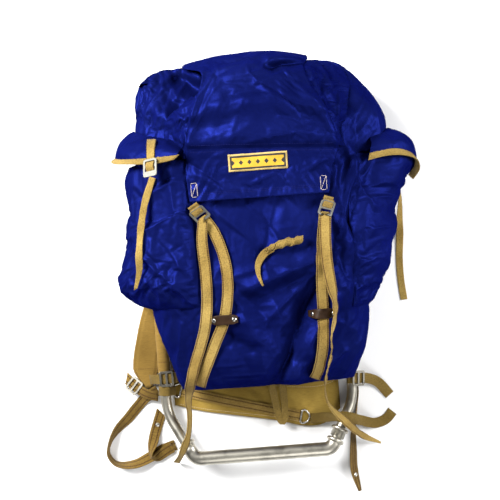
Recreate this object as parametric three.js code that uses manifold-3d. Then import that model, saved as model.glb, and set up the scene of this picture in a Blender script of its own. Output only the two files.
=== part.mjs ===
// An external frame rucksack lying on its back: a bent alloy tube frame with a foot bar, a hollow
// nylon sack with two side pockets and a lid, and cotton webbing straps that lie loose around it.
// Units are millimetres. +Z is up from the floor, +Y runs to the lid and +X to the right of the pack
// as seen from above. Everything is placed in the pack's own plan, and the finished group is moved so
// that the origin is on the floor under the middle of the whole thing.
import * as THREE from "three";
import { mergeVertices } from "three/addons/utils/BufferGeometryUtils.js";
import Module from "manifold-3d";

const wasm = await Module();
wasm.setup();

// Driving dimensions
const GAP = 0.4; // clearance between pieces that touch
const CLOTH = 1.8; // coated nylon wall, doubled at its seams
const WEB_WIDTH = 19; // cotton webbing
const WEB_THICK = 1.6;
const NARROW_WEB = 13; // webbing of the tails and of the loop at the foot of the sack
const PAD_THICK = 10; // padded shoulder straps and back band, between the frame and the floor
const SHOULDER_WIDTH = 50;
const TUBE_RADIUS = 9.5; // frame tube
const CROSSBAR_RADIUS = 7;
const FOOT_RADIUS = 12.7; // wider tube of the foot bar, which sleeves over the frame tube
const COLLAR_RADIUS = 16; // rolled rim at each mouth of the foot bar
const COLLAR_LENGTH = 5;
const FRAME_MIDDLE = -3; // the frame's middle plane in the plan
const FRAME_HALF = 172; // from the middle plane to each upright
const FRAME_TOP = 292;
const FRAME_BEND = 60; // length of tube taken up by each bend, each side of the corner
const KNEE_BEND = 24;
const FRAME_Z = PAD_THICK + GAP + TUBE_RADIUS;
const KNEE_Y = -288; // where the uprights turn in towards the foot bar
const FOOT_Y = -371;
const FOOT_HALF = 124;
const FOOT_RISE = 25; // the foot bar stands forward of the uprights
const FOOT_BEND = 12;
const CROSSBAR_YS = [205, 60, -95, -222];
const FRAME_FRONT = FRAME_Z + TUBE_RADIUS;
const SACK_BACK = FRAME_FRONT - 0.6; // the sack lies on the uprights and sags a little between them

// Colours and finishes
const FINISH = {
  nylon: { color: 0x16228c, roughness: 0.42, metalness: 0 },
  webbing: { color: 0xc2a05c, roughness: 0.9, metalness: 0 },
  canvas: { color: 0x80652e, roughness: 0.92, metalness: 0 },
  striped_webbing: { color: 0x9c7a3c, roughness: 0.9, metalness: 0 },
  leather: { color: 0x4a3020, roughness: 0.55, metalness: 0 },
  alloy: { color: 0xc8c4ba, roughness: 0.32, metalness: 1 },
  steel: { color: 0xd6d6d2, roughness: 0.25, metalness: 1 },
  label: { color: 0xd9a520, roughness: 0.8, metalness: 0 },
};
const MATERIALS = Object.fromEntries(
  Object.entries(FINISH).map(([name, look]) => [name, new THREE.MeshStandardMaterial({ name, ...look })]),
);

const pack = new THREE.Group();

function add(name, geometry, finish) {
  const mesh = new THREE.Mesh(geometry, MATERIALS[finish]);
  mesh.name = name;
  pack.add(mesh);
  return mesh;
}

// Small helpers
const DEGREE = Math.PI / 180;
const mix = (a, b, t) => a + (b - a) * t;
const clamp01 = (t) => Math.min(1, Math.max(0, t));
const ease = (t) => clamp01(t) ** 2 * (3 - 2 * clamp01(t));
const signedPower = (value, power) => Math.sign(value) * Math.abs(value) ** power;
const at = (x, y, z) => new THREE.Vector3(x, y, z);
const UP = at(0, 0, 1);

// Rows of numbers under named columns
function table(columns, rows) {
  return rows.map((row) => Object.fromEntries(columns.map((column, i) => [column, row[i]])));
}

// A smooth curve through the rows of a table: every column at a value of the key column
function smoothRow(rows, key, value) {
  const rising = rows[rows.length - 1][key] > rows[0][key] ? 1 : -1;
  let i = 0;
  while (i < rows.length - 2 && (value - rows[i + 1][key]) * rising > 0) i += 1;
  const [a, b] = [rows[i], rows[i + 1]];
  const before = rows[Math.max(0, i - 1)];
  const after = rows[Math.min(rows.length - 1, i + 2)];
  const span = b[key] - a[key];
  const t = clamp01((value - a[key]) / span);
  const made = {};
  for (const column of Object.keys(a)) {
    const slopeA = ((b[column] - before[column]) / (b[key] - before[key])) * span;
    const slopeB = ((after[column] - a[column]) / (after[key] - a[key])) * span;
    made[column] =
      a[column] * (2 * t ** 3 - 3 * t ** 2 + 1) +
      slopeA * (t ** 3 - 2 * t ** 2 + t) +
      b[column] * (3 * t ** 2 - 2 * t ** 3) +
      slopeB * (t ** 3 - t ** 2);
  }
  return made;
}

// A geometry from points and triangles, turned so that its faces point out
function geometryOf(points, triangles) {
  const geometry = new THREE.BufferGeometry();
  const numbers = points.flatMap((p) => [p.x, p.y, p.z]);
  geometry.setAttribute("position", new THREE.Float32BufferAttribute(numbers, 3));
  let volume = 0;
  for (const [a, b, c] of triangles) volume += points[a].dot(points[b].clone().cross(points[c]));
  geometry.setIndex((volume < 0 ? triangles.map(([a, b, c]) => [a, c, b]) : triangles).flat());
  return geometry;
}

// A wall between an outer and an inner grid of points. A round wall closes on itself across each row,
// and its first row is closed by the two poles; every other edge is joined from the outside to the inside.
function wall(outer, inner, poles = null) {
  const rows = outer.length;
  const across = outer[0].length;
  const points = [...outer.flat(), ...inner.flat()];
  const out = (i, j) => i * across + (j % across);
  const inn = (i, j) => rows * across + out(i, j);
  const triangles = [];
  const quad = (a, b, c, d) => triangles.push([a, b, c], [a, c, d]);
  const columns = poles ? across : across - 1;
  for (let i = 0; i < rows - 1; i += 1)
    for (let j = 0; j < columns; j += 1) {
      quad(out(i, j), out(i, j + 1), out(i + 1, j + 1), out(i + 1, j));
      quad(inn(i, j), inn(i + 1, j), inn(i + 1, j + 1), inn(i, j + 1));
    }
  const last = rows - 1;
  for (let j = 0; j < columns; j += 1) quad(out(last, j), out(last, j + 1), inn(last, j + 1), inn(last, j));
  if (poles) {
    points.push(...poles);
    for (let j = 0; j < across; j += 1) {
      triangles.push([points.length - 2, out(0, j + 1), out(0, j)]);
      triangles.push([points.length - 1, inn(0, j), inn(0, j + 1)]);
    }
  } else {
    for (let j = 0; j < columns; j += 1) quad(out(0, j + 1), out(0, j), inn(0, j), inn(0, j + 1));
    for (let i = 0; i < rows - 1; i += 1) {
      quad(out(i, 0), out(i + 1, 0), inn(i + 1, 0), inn(i, 0));
      quad(out(i + 1, columns), out(i, columns), inn(i, columns), inn(i + 1, columns));
    }
  }
  return geometryOf(points, triangles);
}

// The grid moved inwards by a wall's thickness, along normals that follow the grid
function offsetGrid(grid, distance) {
  const rows = grid.length;
  const across = grid[0].length;
  return grid.map((row, i) =>
    row.map((p, j) => {
      const along = grid[Math.min(rows - 1, i + 1)][j].clone().sub(grid[Math.max(0, i - 1)][j]);
      const side = row[Math.min(across - 1, j + 1)].clone().sub(row[Math.max(0, j - 1)]);
      return p.clone().addScaledVector(side.cross(along).normalize(), distance);
    }),
  );
}

// Solids joined into one
function toSolid(geometry) {
  const bare = new THREE.BufferGeometry();
  bare.setAttribute("position", geometry.getAttribute("position"));
  if (geometry.index) bare.setIndex(geometry.index);
  const merged = mergeVertices(bare, 1e-3);
  const mesh = new wasm.Mesh({
    numProp: 3,
    vertProperties: merged.getAttribute("position").array,
    triVerts: new Uint32Array(merged.index.array),
  });
  return new wasm.Manifold(mesh);
}

function fromSolid(solid) {
  const mesh = solid.getMesh();
  const geometry = new THREE.BufferGeometry();
  geometry.setAttribute("position", new THREE.BufferAttribute(mesh.vertProperties, 3));
  geometry.setIndex(new THREE.BufferAttribute(mesh.triVerts, 1));
  return geometry;
}

const join = (geometries) => fromSolid(geometries.map(toSolid).reduce((a, b) => a.add(b)));
const cut = (geometry, tool) => fromSolid(toSolid(geometry).subtract(toSolid(tool)));

// A round bar along a curve
function tube(curve, radius, steps, sides = 10) {
  const section = new THREE.Shape();
  section.absarc(0, 0, radius, 0, 2 * Math.PI);
  return new THREE.ExtrudeGeometry(section, {
    steps,
    curveSegments: sides / 2, // an arc takes two chords for each segment
    bevelEnabled: false,
    extrudePath: curve,
  });
}

// A curve of straight runs with a bend at each corner
function bentPath(corners, bends) {
  const path = new THREE.CurvePath();
  let start = corners[0];
  for (let i = 1; i < corners.length - 1; i += 1) {
    const towards = (next) => next.clone().sub(corners[i]).setLength(bends[i - 1]).add(corners[i]);
    const into = towards(corners[i - 1]);
    const from = towards(corners[i + 1]);
    path.add(new THREE.LineCurve3(start, into));
    path.add(new THREE.QuadraticBezierCurve3(into, corners[i], from));
    start = from;
  }
  path.add(new THREE.LineCurve3(start, corners[corners.length - 1]));
  return path;
}

// The frame: one hoop of tube that turns in at its feet, with crossbars welded between its sides
const kneeAt = (side) => at(FRAME_MIDDLE + side * FRAME_HALF, KNEE_Y, FRAME_Z);
const footAt = (side) => at(FRAME_MIDDLE + side * FOOT_HALF, FOOT_Y, FRAME_Z + FOOT_RISE);
const onShin = (side, share) => kneeAt(side).lerp(footAt(side), share);
const SHIN_END = 0.86; // the frame tube stops inside the foot bar's sockets
const LEFT_MOUTH = 0.66; // where the foot bar's left mouth sits between knee and foot
const RIGHT_MOUTH = 0.8;
const SLEEVE_TOP = 0.58;
const SOCKET_TOP = 0.5; // the sockets' cut starts outside both mouths

function buildFrame() {
  const topLeft = at(FRAME_MIDDLE - FRAME_HALF, FRAME_TOP, FRAME_Z);
  const topRight = at(FRAME_MIDDLE + FRAME_HALF, FRAME_TOP, FRAME_Z);
  const corners = [onShin(-1, SHIN_END), kneeAt(-1), topLeft, topRight, kneeAt(1), onShin(1, SHIN_END)];
  const hoop = tube(bentPath(corners, [KNEE_BEND, FRAME_BEND, FRAME_BEND, KNEE_BEND]), TUBE_RADIUS, 52, 8);
  const bars = CROSSBAR_YS.map((y) => {
    const reach = FRAME_HALF - TUBE_RADIUS / 2;
    const z = PAD_THICK + GAP + CROSSBAR_RADIUS;
    const run = new THREE.LineCurve3(at(FRAME_MIDDLE - reach, y, z), at(FRAME_MIDDLE + reach, y, z));
    return tube(run, CROSSBAR_RADIUS, 1, 8);
  });
  add("frame", join([hoop, ...bars]), "alloy");
}

// A short collar round a line between two points of a shin
function collar(side, share) {
  const middle = onShin(side, share);
  const axis = footAt(side).sub(kneeAt(side)).normalize();
  const ends = [-0.5, 0.5].map((end) => middle.clone().addScaledVector(axis, end * COLLAR_LENGTH));
  return tube(new THREE.LineCurve3(...ends), COLLAR_RADIUS, 1, 12);
}

function shinRod(side, from, to, radius) {
  return tube(new THREE.LineCurve3(onShin(side, from), onShin(side, to)), radius, 1, 12);
}

function buildFoot() {
  const socket = TUBE_RADIUS + 2 * GAP;
  const corners = [onShin(-1, LEFT_MOUTH), footAt(-1), footAt(1), onShin(1, RIGHT_MOUTH)];
  const bar = join([
    tube(bentPath(corners, [FOOT_BEND, FOOT_BEND]), FOOT_RADIUS, 18),
    collar(-1, LEFT_MOUTH),
    collar(1, RIGHT_MOUTH),
  ]);
  const sockets = join([-1, 1].map((side) => shinRod(side, SOCKET_TOP, SHIN_END + 0.02, socket)));
  const sleeveEnd = (COLLAR_LENGTH / 2 + 1.5 * GAP) / footAt(1).distanceTo(kneeAt(1));
  const sleeve = join([
    shinRod(1, SLEEVE_TOP, RIGHT_MOUTH - sleeveEnd, FOOT_RADIUS),
    collar(1, SLEEVE_TOP),
  ]);
  add("foot_bar", cut(bar, sockets), "alloy");
  add("foot_sleeve", cut(sleeve, shinRod(1, 0, 1, socket)), "alloy");
}

buildFrame();
buildFoot();

// The sack: a hollow bag of flattened oval sections, slumped a little to the right of the frame.
// Each row is one section: left and right are its widest points, at the height called wide.
const SACK = table(
  ["y", "left", "right", "back", "wide", "front"],
  [
    [-240, -138, 170, 36, 60, 96],
    [-222, -145, 177, SACK_BACK, 60, 121],
    [-185, -156, 189, SACK_BACK, 62, 144],
    [-135, -171, 201, SACK_BACK, 64, 157],
    [-80, -184, 208, SACK_BACK, 66, 165],
    [0, -190, 212, SACK_BACK, 68, 170],
    [80, -192, 216, SACK_BACK, 70, 171],
    [150, -191, 228, SACK_BACK, 72, 168],
    [205, -188, 242, SACK_BACK, 72, 161],
    [250, -187, 226, SACK_BACK, 72, 151],
    [288, -186, 206, FRAME_FRONT + GAP, 70, 138],
    [309, -178, 195, 34, 68, 125],
    [320, -163, 178, 42, 69, 110],
    [326, -140, 154, 52, 71, 100],
  ],
);
const FRONT_SQUARENESS = 2.5; // 2 is an oval, more is boxier
const BACK_SQUARENESS = 8; // the back lies flat on the frame
const SACK_FOOT = SACK[0].y;
const SACK_MOUTH = SACK[SACK.length - 1].y;

// Folds pressed into the front of the sack, seen from above: a ridge is up and a valley is down
const FOLDS = table(
  ["x0", "y0", "x1", "y1", "width", "rise"],
  [
    [28, -236, 108, -70, 15, -9], // the long diagonal from the foot to the right strap
    [62, -236, 128, -95, 14, 7],
    [70, -190, 96, -225, 16, -8],
    [46, 70, 22, -6, 13, -7], // below the lid, down to the knot
    [0, -62, 110, -20, 16, 6], // across under the knot
    [-28, -96, 92, -58, 15, -5],
    [-40, -150, -8, -168, 14, -7], // the dimple beside the left strap
    [-130, -110, -118, -225, 17, -6],
    [170, 40, 205, 150, 15, -6], // down the right side
    [158, -60, 176, -190, 17, 6],
    [-170, 215, -120, 285, 16, -8], // the slack shoulders at the top
    [-140, 250, -96, 200, 14, 8],
    [176, 255, 150, 190, 15, -8],
    [140, 280, 160, 225, 13, 6],
  ],
);
const FOLD_FADE = 2.2; // how fast folds fade out towards the sides of the sack
const SEAM_LIFT = 0.6; // pockets stand this far off the sack at their seams
const GATHERS = 22; // puckers round the drawn-in mouth
const GATHER_DEPTH = 4;
const GATHER_FROM = 268; // they deepen from here over this length
const GATHER_RUN = 45;

function foldRise(x, y) {
  let rise = 0;
  for (const fold of FOLDS) {
    const [dx, dy] = [fold.x1 - fold.x0, fold.y1 - fold.y0];
    const along = ((x - fold.x0) * dx + (y - fold.y0) * dy) / (dx * dx + dy * dy);
    const off = Math.hypot(x - fold.x0 - clamp01(along) * dx, y - fold.y0 - clamp01(along) * dy);
    rise += fold.rise * Math.exp(-((off / fold.width) ** 2));
  }
  return rise;
}

// A point on the sack. The angle turns from the right side (0) over the front (90) to the left (180).
function sackPoint(degrees, y, lift = 0, shrink = 1) {
  const section = smoothRow(SACK, "y", y);
  const across = Math.cos(degrees * DEGREE);
  const isFront = Math.sin(degrees * DEGREE) > 0;
  const squareness = isFront ? FRONT_SQUARENESS : BACK_SQUARENESS;
  const half = (section.right - section.left) / 2;
  const rise = isFront ? section.front - section.wide : section.back - section.wide;
  const height = Math.max(0, 1 - Math.abs(across) ** squareness) ** (1 / squareness);
  const x = (section.right + section.left) / 2 + shrink * half * across;
  const z = section.wide + shrink * rise * height;
  const slopes = [signedPower(across, squareness - 1) / half, height ** (squareness - 1) / rise];
  const normal = at(slopes[0], 0, slopes[1]).normalize();
  const gather = GATHER_DEPTH * Math.cos(GATHERS * degrees * DEGREE) * ease((y - GATHER_FROM) / GATHER_RUN);
  const dent = isFront ? (foldRise(x, y) + gather) * ease(height * FOLD_FADE) : 0;
  return at(x, y, z).addScaledVector(normal, lift + dent * shrink);
}

const COLUMN = 7.5; // degrees between the sack's columns over the front
const BACK_ANGLES = [190, 200, 215, 240, 270, 300, 325, 340, 350];
const SACK_ANGLES = [...Array.from({ length: 25 }, (_, i) => COLUMN * i), ...BACK_ANGLES];
const SACK_YS = [-240, -230, -213, -190, -164, -137, -110, -90, -77, -61, -45, -19, 12, 43, 74, 103];
SACK_YS.push(132, 160, 187, 212, 235, 256, 275, 293, 308, 319, SACK_MOUTH);
const FOOT_SHRINK = [0.45, 0.8]; // rings across the flat foot of the sack
const FOOT_BULGE = 4;

function buildSack() {
  const layer = (lift) => {
    const foot = FOOT_SHRINK.map((shrink) =>
      SACK_ANGLES.map((a) => {
        const p = sackPoint(a, SACK_FOOT, lift, shrink);
        p.y -= FOOT_BULGE * (1 - shrink * shrink) + lift;
        return p;
      }),
    );
    const rings = SACK_YS.map((y, i) => {
      const shift = lift * (1 - ease((i + 1) / 4));
      return SACK_ANGLES.map((a) => sackPoint(a, y - shift, lift).setY(y - shift));
    });
    return [...foot, ...rings];
  };
  const section = SACK[0];
  const pole = at((section.left + section.right) / 2, SACK_FOOT - FOOT_BULGE, section.wide);
  return add("sack", wall(layer(0), layer(-CLOTH), [pole, pole.clone().setY(pole.y + CLOTH)]), "nylon");
}

const sack = buildSack();

// Heights that straps lie on, looking down on the pieces built so far
const looker = new THREE.Raycaster();
const DOWN = at(0, 0, -1);
const SKY = 1000; // looking down from well above the pack
function heightAt(meshes, x, y) {
  looker.set(at(x, y, SKY), DOWN);
  const hits = looker.intersectObjects(meshes, false);
  return hits.length ? hits[0].point.z : 0;
}

// Side pockets: a wall that stands off the sack between an inner and an outer angle, open at its mouth.
// Each row gives how far it stands off at the front of the pack and at its side.
const POCKETS = {
  left: {
    angles: [120, 127.5, 135, 142.5, 150, 157.5, 165, 172.5, 180, 190, 200],
    front: 142,
    side: 176,
    rows: table(
      ["y", "frontLift", "sideLift"],
      [
        [-90, 0, 0],
        [-78, 12, 18],
        [-62, 22, 38],
        [-46, 27, 49],
        [-8, 30, 34],
        [32, 29, 21],
        [85, 26, 15],
        [125, 22, 13],
        [160, 18, 12],
      ],
    ),
  },
  right: {
    angles: [37.5, 30, 22.5, 15, 7.5, 0, -10],
    front: 27,
    side: 4,
    rows: table(
      ["y", "frontLift", "sideLift"],
      [
        [-110, 0, 0],
        [-98, 8, 8],
        [-66, 15, 15],
        [-11, 20, 27],
        [31, 23, 38],
        [70, 25, 48],
        [100, 26, 54],
        [132, 25, 56],
      ],
    ),
  },
};
// How far the pocket's wall stands off the sack, falling to nothing at its two side seams
function pocketLift(pocket, angle, y) {
  const row = smoothRow(pocket.rows, "y", y);
  const [inner, outer] = [pocket.angles[0], pocket.angles[pocket.angles.length - 1]];
  const u = clamp01((angle - inner) / (outer - inner));
  const lift = mix(row.frontLift, row.sideLift, ease((angle - pocket.front) / (pocket.side - pocket.front)));
  return Math.max(0, lift) * (1 - (2 * u - 1) ** 8) ** 0.7;
}

function buildPocket(side) {
  const pocket = POCKETS[side];
  const [foot, mouth] = [pocket.rows[0].y, pocket.rows[pocket.rows.length - 1].y];
  const ys = SACK_YS.filter((y) => y >= foot && y <= mouth);
  const layer = (thick) =>
    ys.map((y) =>
      pocket.angles.map((angle) => sackPoint(angle, y, SEAM_LIFT + pocketLift(pocket, angle, y) + thick)),
    );
  return add(`pocket_${side}`, wall(layer(CLOTH), layer(0)), "nylon");
}

// Pocket flaps: sewn to the sack along the root and standing off over the pocket's mouth at the edge
const FLAPS = {
  left: table(
    ["angle", "root", "edge", "lift"],
    [
      [125, 186, 160, 31],
      [136, 198, 158, 31],
      [150, 208, 159, 31],
      [165, 218, 164, 31],
      [180, 226, 174, 33],
      [192, 222, 184, 30],
    ],
  ),
  right: table(
    ["angle", "root", "edge", "lift"],
    [
      [30, 172, 140, 34],
      [20, 180, 138, 52],
      [10, 189, 134, 70],
      [3, 192, 126, 79],
      [-3, 190, 119, 79],
    ],
  ),
};
const FLAP_SEAM = 1.38; // a flap's root stands this far off the sack
const FLAP_LIFT = 3.2; // just above the flap's root
const FLAP_RISE = 0.55; // how much of a full S the flap makes from root to edge
const FLAP_COLUMNS = 10;
const FLAP_ROWS = 4;
const BINDING_WIDTH = 8;
const BINDING_THICK = 1.2;

// How far the sack's own facets stand out from its true surface at a point, looking in from outside
const LOOK_FROM = 60;
function surfaceOver(angle, y) {
  const [base, out] = [sackPoint(angle, y), sackPoint(angle, y, 1)];
  const normal = out.sub(base);
  looker.set(base.clone().addScaledVector(normal, LOOK_FROM), normal.clone().negate());
  const hits = looker.intersectObject(sack, false);
  return hits.length ? LOOK_FROM - hits[0].distance : 0;
}

function flapPoint(flap, u, v, thick) {
  const rows = FLAPS[flap];
  const angle = mix(rows[0].angle, rows[rows.length - 1].angle, u);
  const row = smoothRow(rows, "angle", angle);
  const y = mix(row.root, row.edge, v);
  const rise = FLAP_LIFT * ease(3 * v) + row.lift * (ease(FLAP_RISE * v) / ease(FLAP_RISE));
  const clear = v === 0 ? surfaceOver(angle, y) : 0;
  return sackPoint(angle, y, clear + FLAP_SEAM + thick + rise);
}

function flapLayer(flap, from, to, rows, thick) {
  return Array.from({ length: rows + 1 }, (_, i) =>
    Array.from({ length: FLAP_COLUMNS + 1 }, (_, j) =>
      flapPoint(flap, j / FLAP_COLUMNS, mix(from, to, i / rows), thick),
    ),
  );
}

function buildFlap(side) {
  const cloth = [CLOTH, 0].map((thick) => flapLayer(side, 0, 1, FLAP_ROWS, thick));
  const flap = add(`flap_${side}`, wall(...cloth), "nylon");
  const rows = FLAPS[side];
  const share = BINDING_WIDTH / (rows[2].root - rows[2].edge);
  const under = CLOTH + GAP;
  const tape = [under + BINDING_THICK, under].map((lift) => flapLayer(side, 1 - share, 1, 1, lift));
  const binding = add(`binding_${side}`, wall(...tape), "webbing");
  return [flap, binding];
}

const pocketLeft = buildPocket("left");
buildPocket("right");
const [flapLeft, bindingLeft] = buildFlap("left");
buildFlap("right");

// The lid: a puffed hood sewn to the back of the sack above the frame, over the mouth and down the front.
// Each row runs across it: z is its middle height, droop is how much lower its two edges are, and bow is
// how much nearer the foot they are.
const LID = table(
  ["step", "y", "z", "left", "right", "droop", "bow"],
  [
    [0, 304, 30.4, -78, 116, 0, 0],
    [1, 332, 40, -82, 122, 0, 2],
    [2, 339, 92, -84, 124, 2, 6],
    [3, 333, 146, -82, 122, 8, 9],
    [4, 309, 184, -74, 114, 16, 8],
    [5, 270, 206, -76, 126, 22, 3],
    [6, 220, 212, -88, 148, 24, 0],
    [7, 178, 202, -92, 165, 22, 0],
    [8, 153, 184, -94, 172, 12, 0],
    [9, 132, 184, -92, 167, 10, 0],
    [10, 108, 181, -90, 158, 8, 0],
    [11, 86, 177, -88, 148, 6, 0],
  ],
);
const LID_COLUMNS = 12;
const LID_ROWS = 16;
const LID_CLEAR = 4.4; // room under the lid's front edge for the strap tabs
const LID_FRONT = 0.3; // the share of the lid, from its back, that hangs clear of the sack
const LID_ROUNDING = 2.4; // how late across the lid its edges droop

function lidPoint(u, v) {
  const row = smoothRow(LID, "step", v * (LID.length - 1));
  const x = mix(row.left, row.right, u);
  const across = Math.abs(2 * u - 1);
  const y = row.y - row.bow * across ** 2;
  const z = row.z - row.droop * across ** LID_ROUNDING;
  const over = v > LID_FRONT ? heightAt([sack, pocketLeft, flapLeft, bindingLeft], x, y) + LID_CLEAR : 0;
  return at(x, y, Math.max(z, over));
}

function buildLid() {
  const outer = Array.from({ length: LID_ROWS + 1 }, (_, i) =>
    Array.from({ length: LID_COLUMNS + 1 }, (_, j) => lidPoint(j / LID_COLUMNS, i / LID_ROWS)),
  );
  return add("lid", wall(outer, offsetGrid(outer, CLOTH)), "nylon");
}

const lid = buildLid();

// Padded straps have soft edges
const FLAT = [[1, 1], [-1, 1], [-1, -1], [1, -1]];
const CUSHION = [[1, 0.3], [0.84, 1], [-0.84, 1], [-1, 0.3], [-1, -0.3], [-0.84, -1], [0.84, -1], [1, -0.3]];

// Straps. A station is the middle of the strap, the direction across it and its width there.
function ribbon(stations, thick = WEB_THICK, section = FLAT) {
  const points = [];
  const triangles = [];
  const quad = (a, b, c, d) => triangles.push([a, b, c], [a, c, d]);
  stations.forEach((station, i) => {
    const next = stations[Math.min(stations.length - 1, i + 1)].middle;
    const run = next.clone().sub(stations[Math.max(0, i - 1)].middle).normalize();
    const face = run.clone().cross(station.side).normalize();
    const half = station.side.clone().multiplyScalar(station.width / 2);
    const slant = run.clone().multiplyScalar(station.slant ?? 0);
    for (const [s, f] of section) {
      const corner = station.middle.clone().addScaledVector(half, s).addScaledVector(slant, s);
      points.push(corner.addScaledVector(face, (f * thick) / 2));
    }
  });
  const corners = section.length;
  const last = (stations.length - 1) * corners;
  for (let i = 0; i < last; i += corners)
    for (let k = 0; k < corners; k += 1) {
      const next = (k + 1) % corners;
      quad(i + k, i + next, i + corners + next, i + corners + k);
    }
  for (let k = 1; k < corners - 1; k += 1) {
    triangles.push([0, k + 1, k]);
    triangles.push([last, last + k, last + k + 1]);
  }
  return geometryOf(points, triangles);
}

const ROUTE = ["x", "y", "lift", "twist"];

// Stations along a route seen from above. The strap lies on the pieces named, or on the floor, raised by
// the lift, turned onto its edge by the twist, and pulled straight over hollows.
function lay(route, under, { width = WEB_WIDTH, thick = WEB_THICK, every = 16, taut = 4 } = {}) {
  const rows = table(ROUTE, route);
  const curve = new THREE.CatmullRomCurve3(rows.map((row) => at(row.x, row.y, 0)));
  const count = Math.max(2, Math.round(curve.getLength() / every));
  const stations = [];
  for (let i = 0; i <= count; i += 1) {
    const t = curve.getUtoTmapping(i / count);
    const place = t * (rows.length - 1);
    const k = Math.min(rows.length - 2, Math.floor(place));
    const [a, b] = [rows[k], rows[k + 1]];
    const twist = mix(a.twist ?? 0, b.twist ?? 0, place - k) * DEGREE;
    const lift = mix(a.lift ?? 0, b.lift ?? 0, place - k);
    const middle = curve.getPoint(t);
    const flat = curve.getTangent(t).cross(UP).normalize();
    const reach = Math.max(2, (width / 2) * Math.cos(twist));
    const run = curve.getTangent(t);
    const bedAt = (across, ahead) => {
      const spot = middle.clone().addScaledVector(flat, across * reach).addScaledVector(run, ahead);
      return heightAt(under, spot.x, spot.y);
    };
    const [zr, zl] = [bedAt(1, 0), bedAt(-1, 0)];
    const lean = Math.abs(zr - zl) < 1.4 * reach ? Math.atan2(zr - zl, 2 * reach) : 0;
    const crossings = [-0.5, 0, 0.5].flatMap((ahead) =>
      [1, 0, -1].map((across) => bedAt(across, ahead * every) - across * reach * Math.tan(lean)),
    );
    const bed = Math.max(...crossings);
    const stand = (width / 2) * Math.abs(Math.sin(twist)) + (thick / 2) * (Math.cos(twist) / Math.cos(lean));
    const clear = bed > 0 ? GAP : GAP / 2;
    middle.z = bed + clear + lift + stand;
    const side = flat.multiplyScalar(Math.cos(twist + lean)).addScaledVector(UP, Math.sin(twist + lean));
    stations.push({ middle, side, width });
  }
  for (let round = 0; round < taut; round += 1)
    for (let i = 1; i < stations.length - 1; i += 1) {
      const chord = (stations[i - 1].middle.z + stations[i + 1].middle.z) / 2;
      stations[i].middle.z = Math.max(stations[i].middle.z, chord);
    }
  return stations;
}

// A half turn added to the end of a strap round a bar: up and back over itself
function turnBack(stations, radius, backBy) {
  const end = stations[stations.length - 1];
  const run = end.middle.clone().sub(stations[stations.length - 2].middle).normalize();
  const face = end.side.clone().cross(run).normalize();
  const made = [45, 90, 135, 180].map((degrees) => {
    const middle = end.middle.clone().addScaledVector(run, radius * Math.sin(degrees * DEGREE));
    middle.addScaledVector(face, radius * (1 - Math.cos(degrees * DEGREE)));
    return { middle, side: end.side.clone(), width: end.width };
  });
  if (backBy > 0) {
    const top = made[made.length - 1];
    made.push({ ...top, middle: top.middle.clone().addScaledVector(run, -backBy) });
  }
  return [...stations, ...made];
}

// Flat metal slides: a plate with two slots
const SLIDE_THICK = 1.8;
const SLIDE_BAR = 4;
const SLIDE_SLOT = 7;
const SLIDE_EDGE = 3.6;
const SLIDE_CORNER = 4;

function roundedOutline(path, width, from, to, radius) {
  const half = width / 2;
  path.moveTo(-half + radius, from);
  path.lineTo(half - radius, from);
  path.absarc(half - radius, from + radius, radius, -Math.PI / 2, 0);
  path.lineTo(half, to - radius);
  path.absarc(half - radius, to - radius, radius, 0, Math.PI / 2);
  path.lineTo(-half + radius, to);
  path.absarc(-half + radius, to - radius, radius, Math.PI / 2, Math.PI);
  path.lineTo(-half, from + radius);
  path.absarc(-half + radius, from + radius, radius, Math.PI, 1.5 * Math.PI);
  return path;
}

// The plate's first bar is centred on its own origin, and the slots follow along +Y
function slidePlate(slotWidth, lastBar) {
  const width = slotWidth + 2 * SLIDE_EDGE;
  const top = 1.5 * SLIDE_BAR + 2 * SLIDE_SLOT + lastBar;
  const plate = roundedOutline(new THREE.Shape(), width, -SLIDE_BAR / 2, top, SLIDE_CORNER);
  for (const start of [SLIDE_BAR / 2, 1.5 * SLIDE_BAR + SLIDE_SLOT])
    plate.holes.push(roundedOutline(new THREE.Path(), slotWidth, start, start + SLIDE_SLOT, 1.5));
  const options = { depth: SLIDE_THICK, bevelEnabled: false, curveSegments: 1 };
  return new THREE.ExtrudeGeometry(plate, options).translate(0, 0, -SLIDE_THICK / 2);
}

// Puts a slide with its first bar at a point, its slots along a direction
function placeSlide(geometry, point, along, up = UP) {
  const run = along.clone().normalize();
  const side = run.clone().cross(up).normalize();
  const basis = new THREE.Matrix4().makeBasis(side, run, side.clone().cross(run)).setPosition(point);
  return geometry.applyMatrix4(basis);
}

// The plane of a strap at one of its stations: along it, across it and out of it
function planeAt(stations, i) {
  const station = stations[i];
  const from = stations[Math.max(0, i - 1)].middle;
  const to = stations[Math.min(stations.length - 1, i + 1)].middle;
  const run = to.clone().sub(from).normalize();
  const out = station.side.clone().cross(run).normalize();
  return { origin: station.middle, run, side: run.clone().cross(out), out };
}

function inPlane(plane, along, height, width = WEB_WIDTH) {
  const middle = plane.origin.clone().addScaledVector(plane.run, along).addScaledVector(plane.out, height);
  return { middle, side: plane.side.clone(), width };
}

const piece = (name) => pack.getObjectByName(name);
const named = (...names) => names.map(piece);
const TURN_RADIUS = SLIDE_THICK / 2 + GAP + WEB_THICK / 2;
const LAST_BAR_AT = 2 * (SLIDE_SLOT + SLIDE_BAR);

// Narrower stations at the end of a strap, down to its tip
function taper(stations, count, tip) {
  stations.slice(-count - 1).forEach((station, i) => {
    station.width = mix(station.width, tip, i / count);
  });
  return stations;
}

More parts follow.
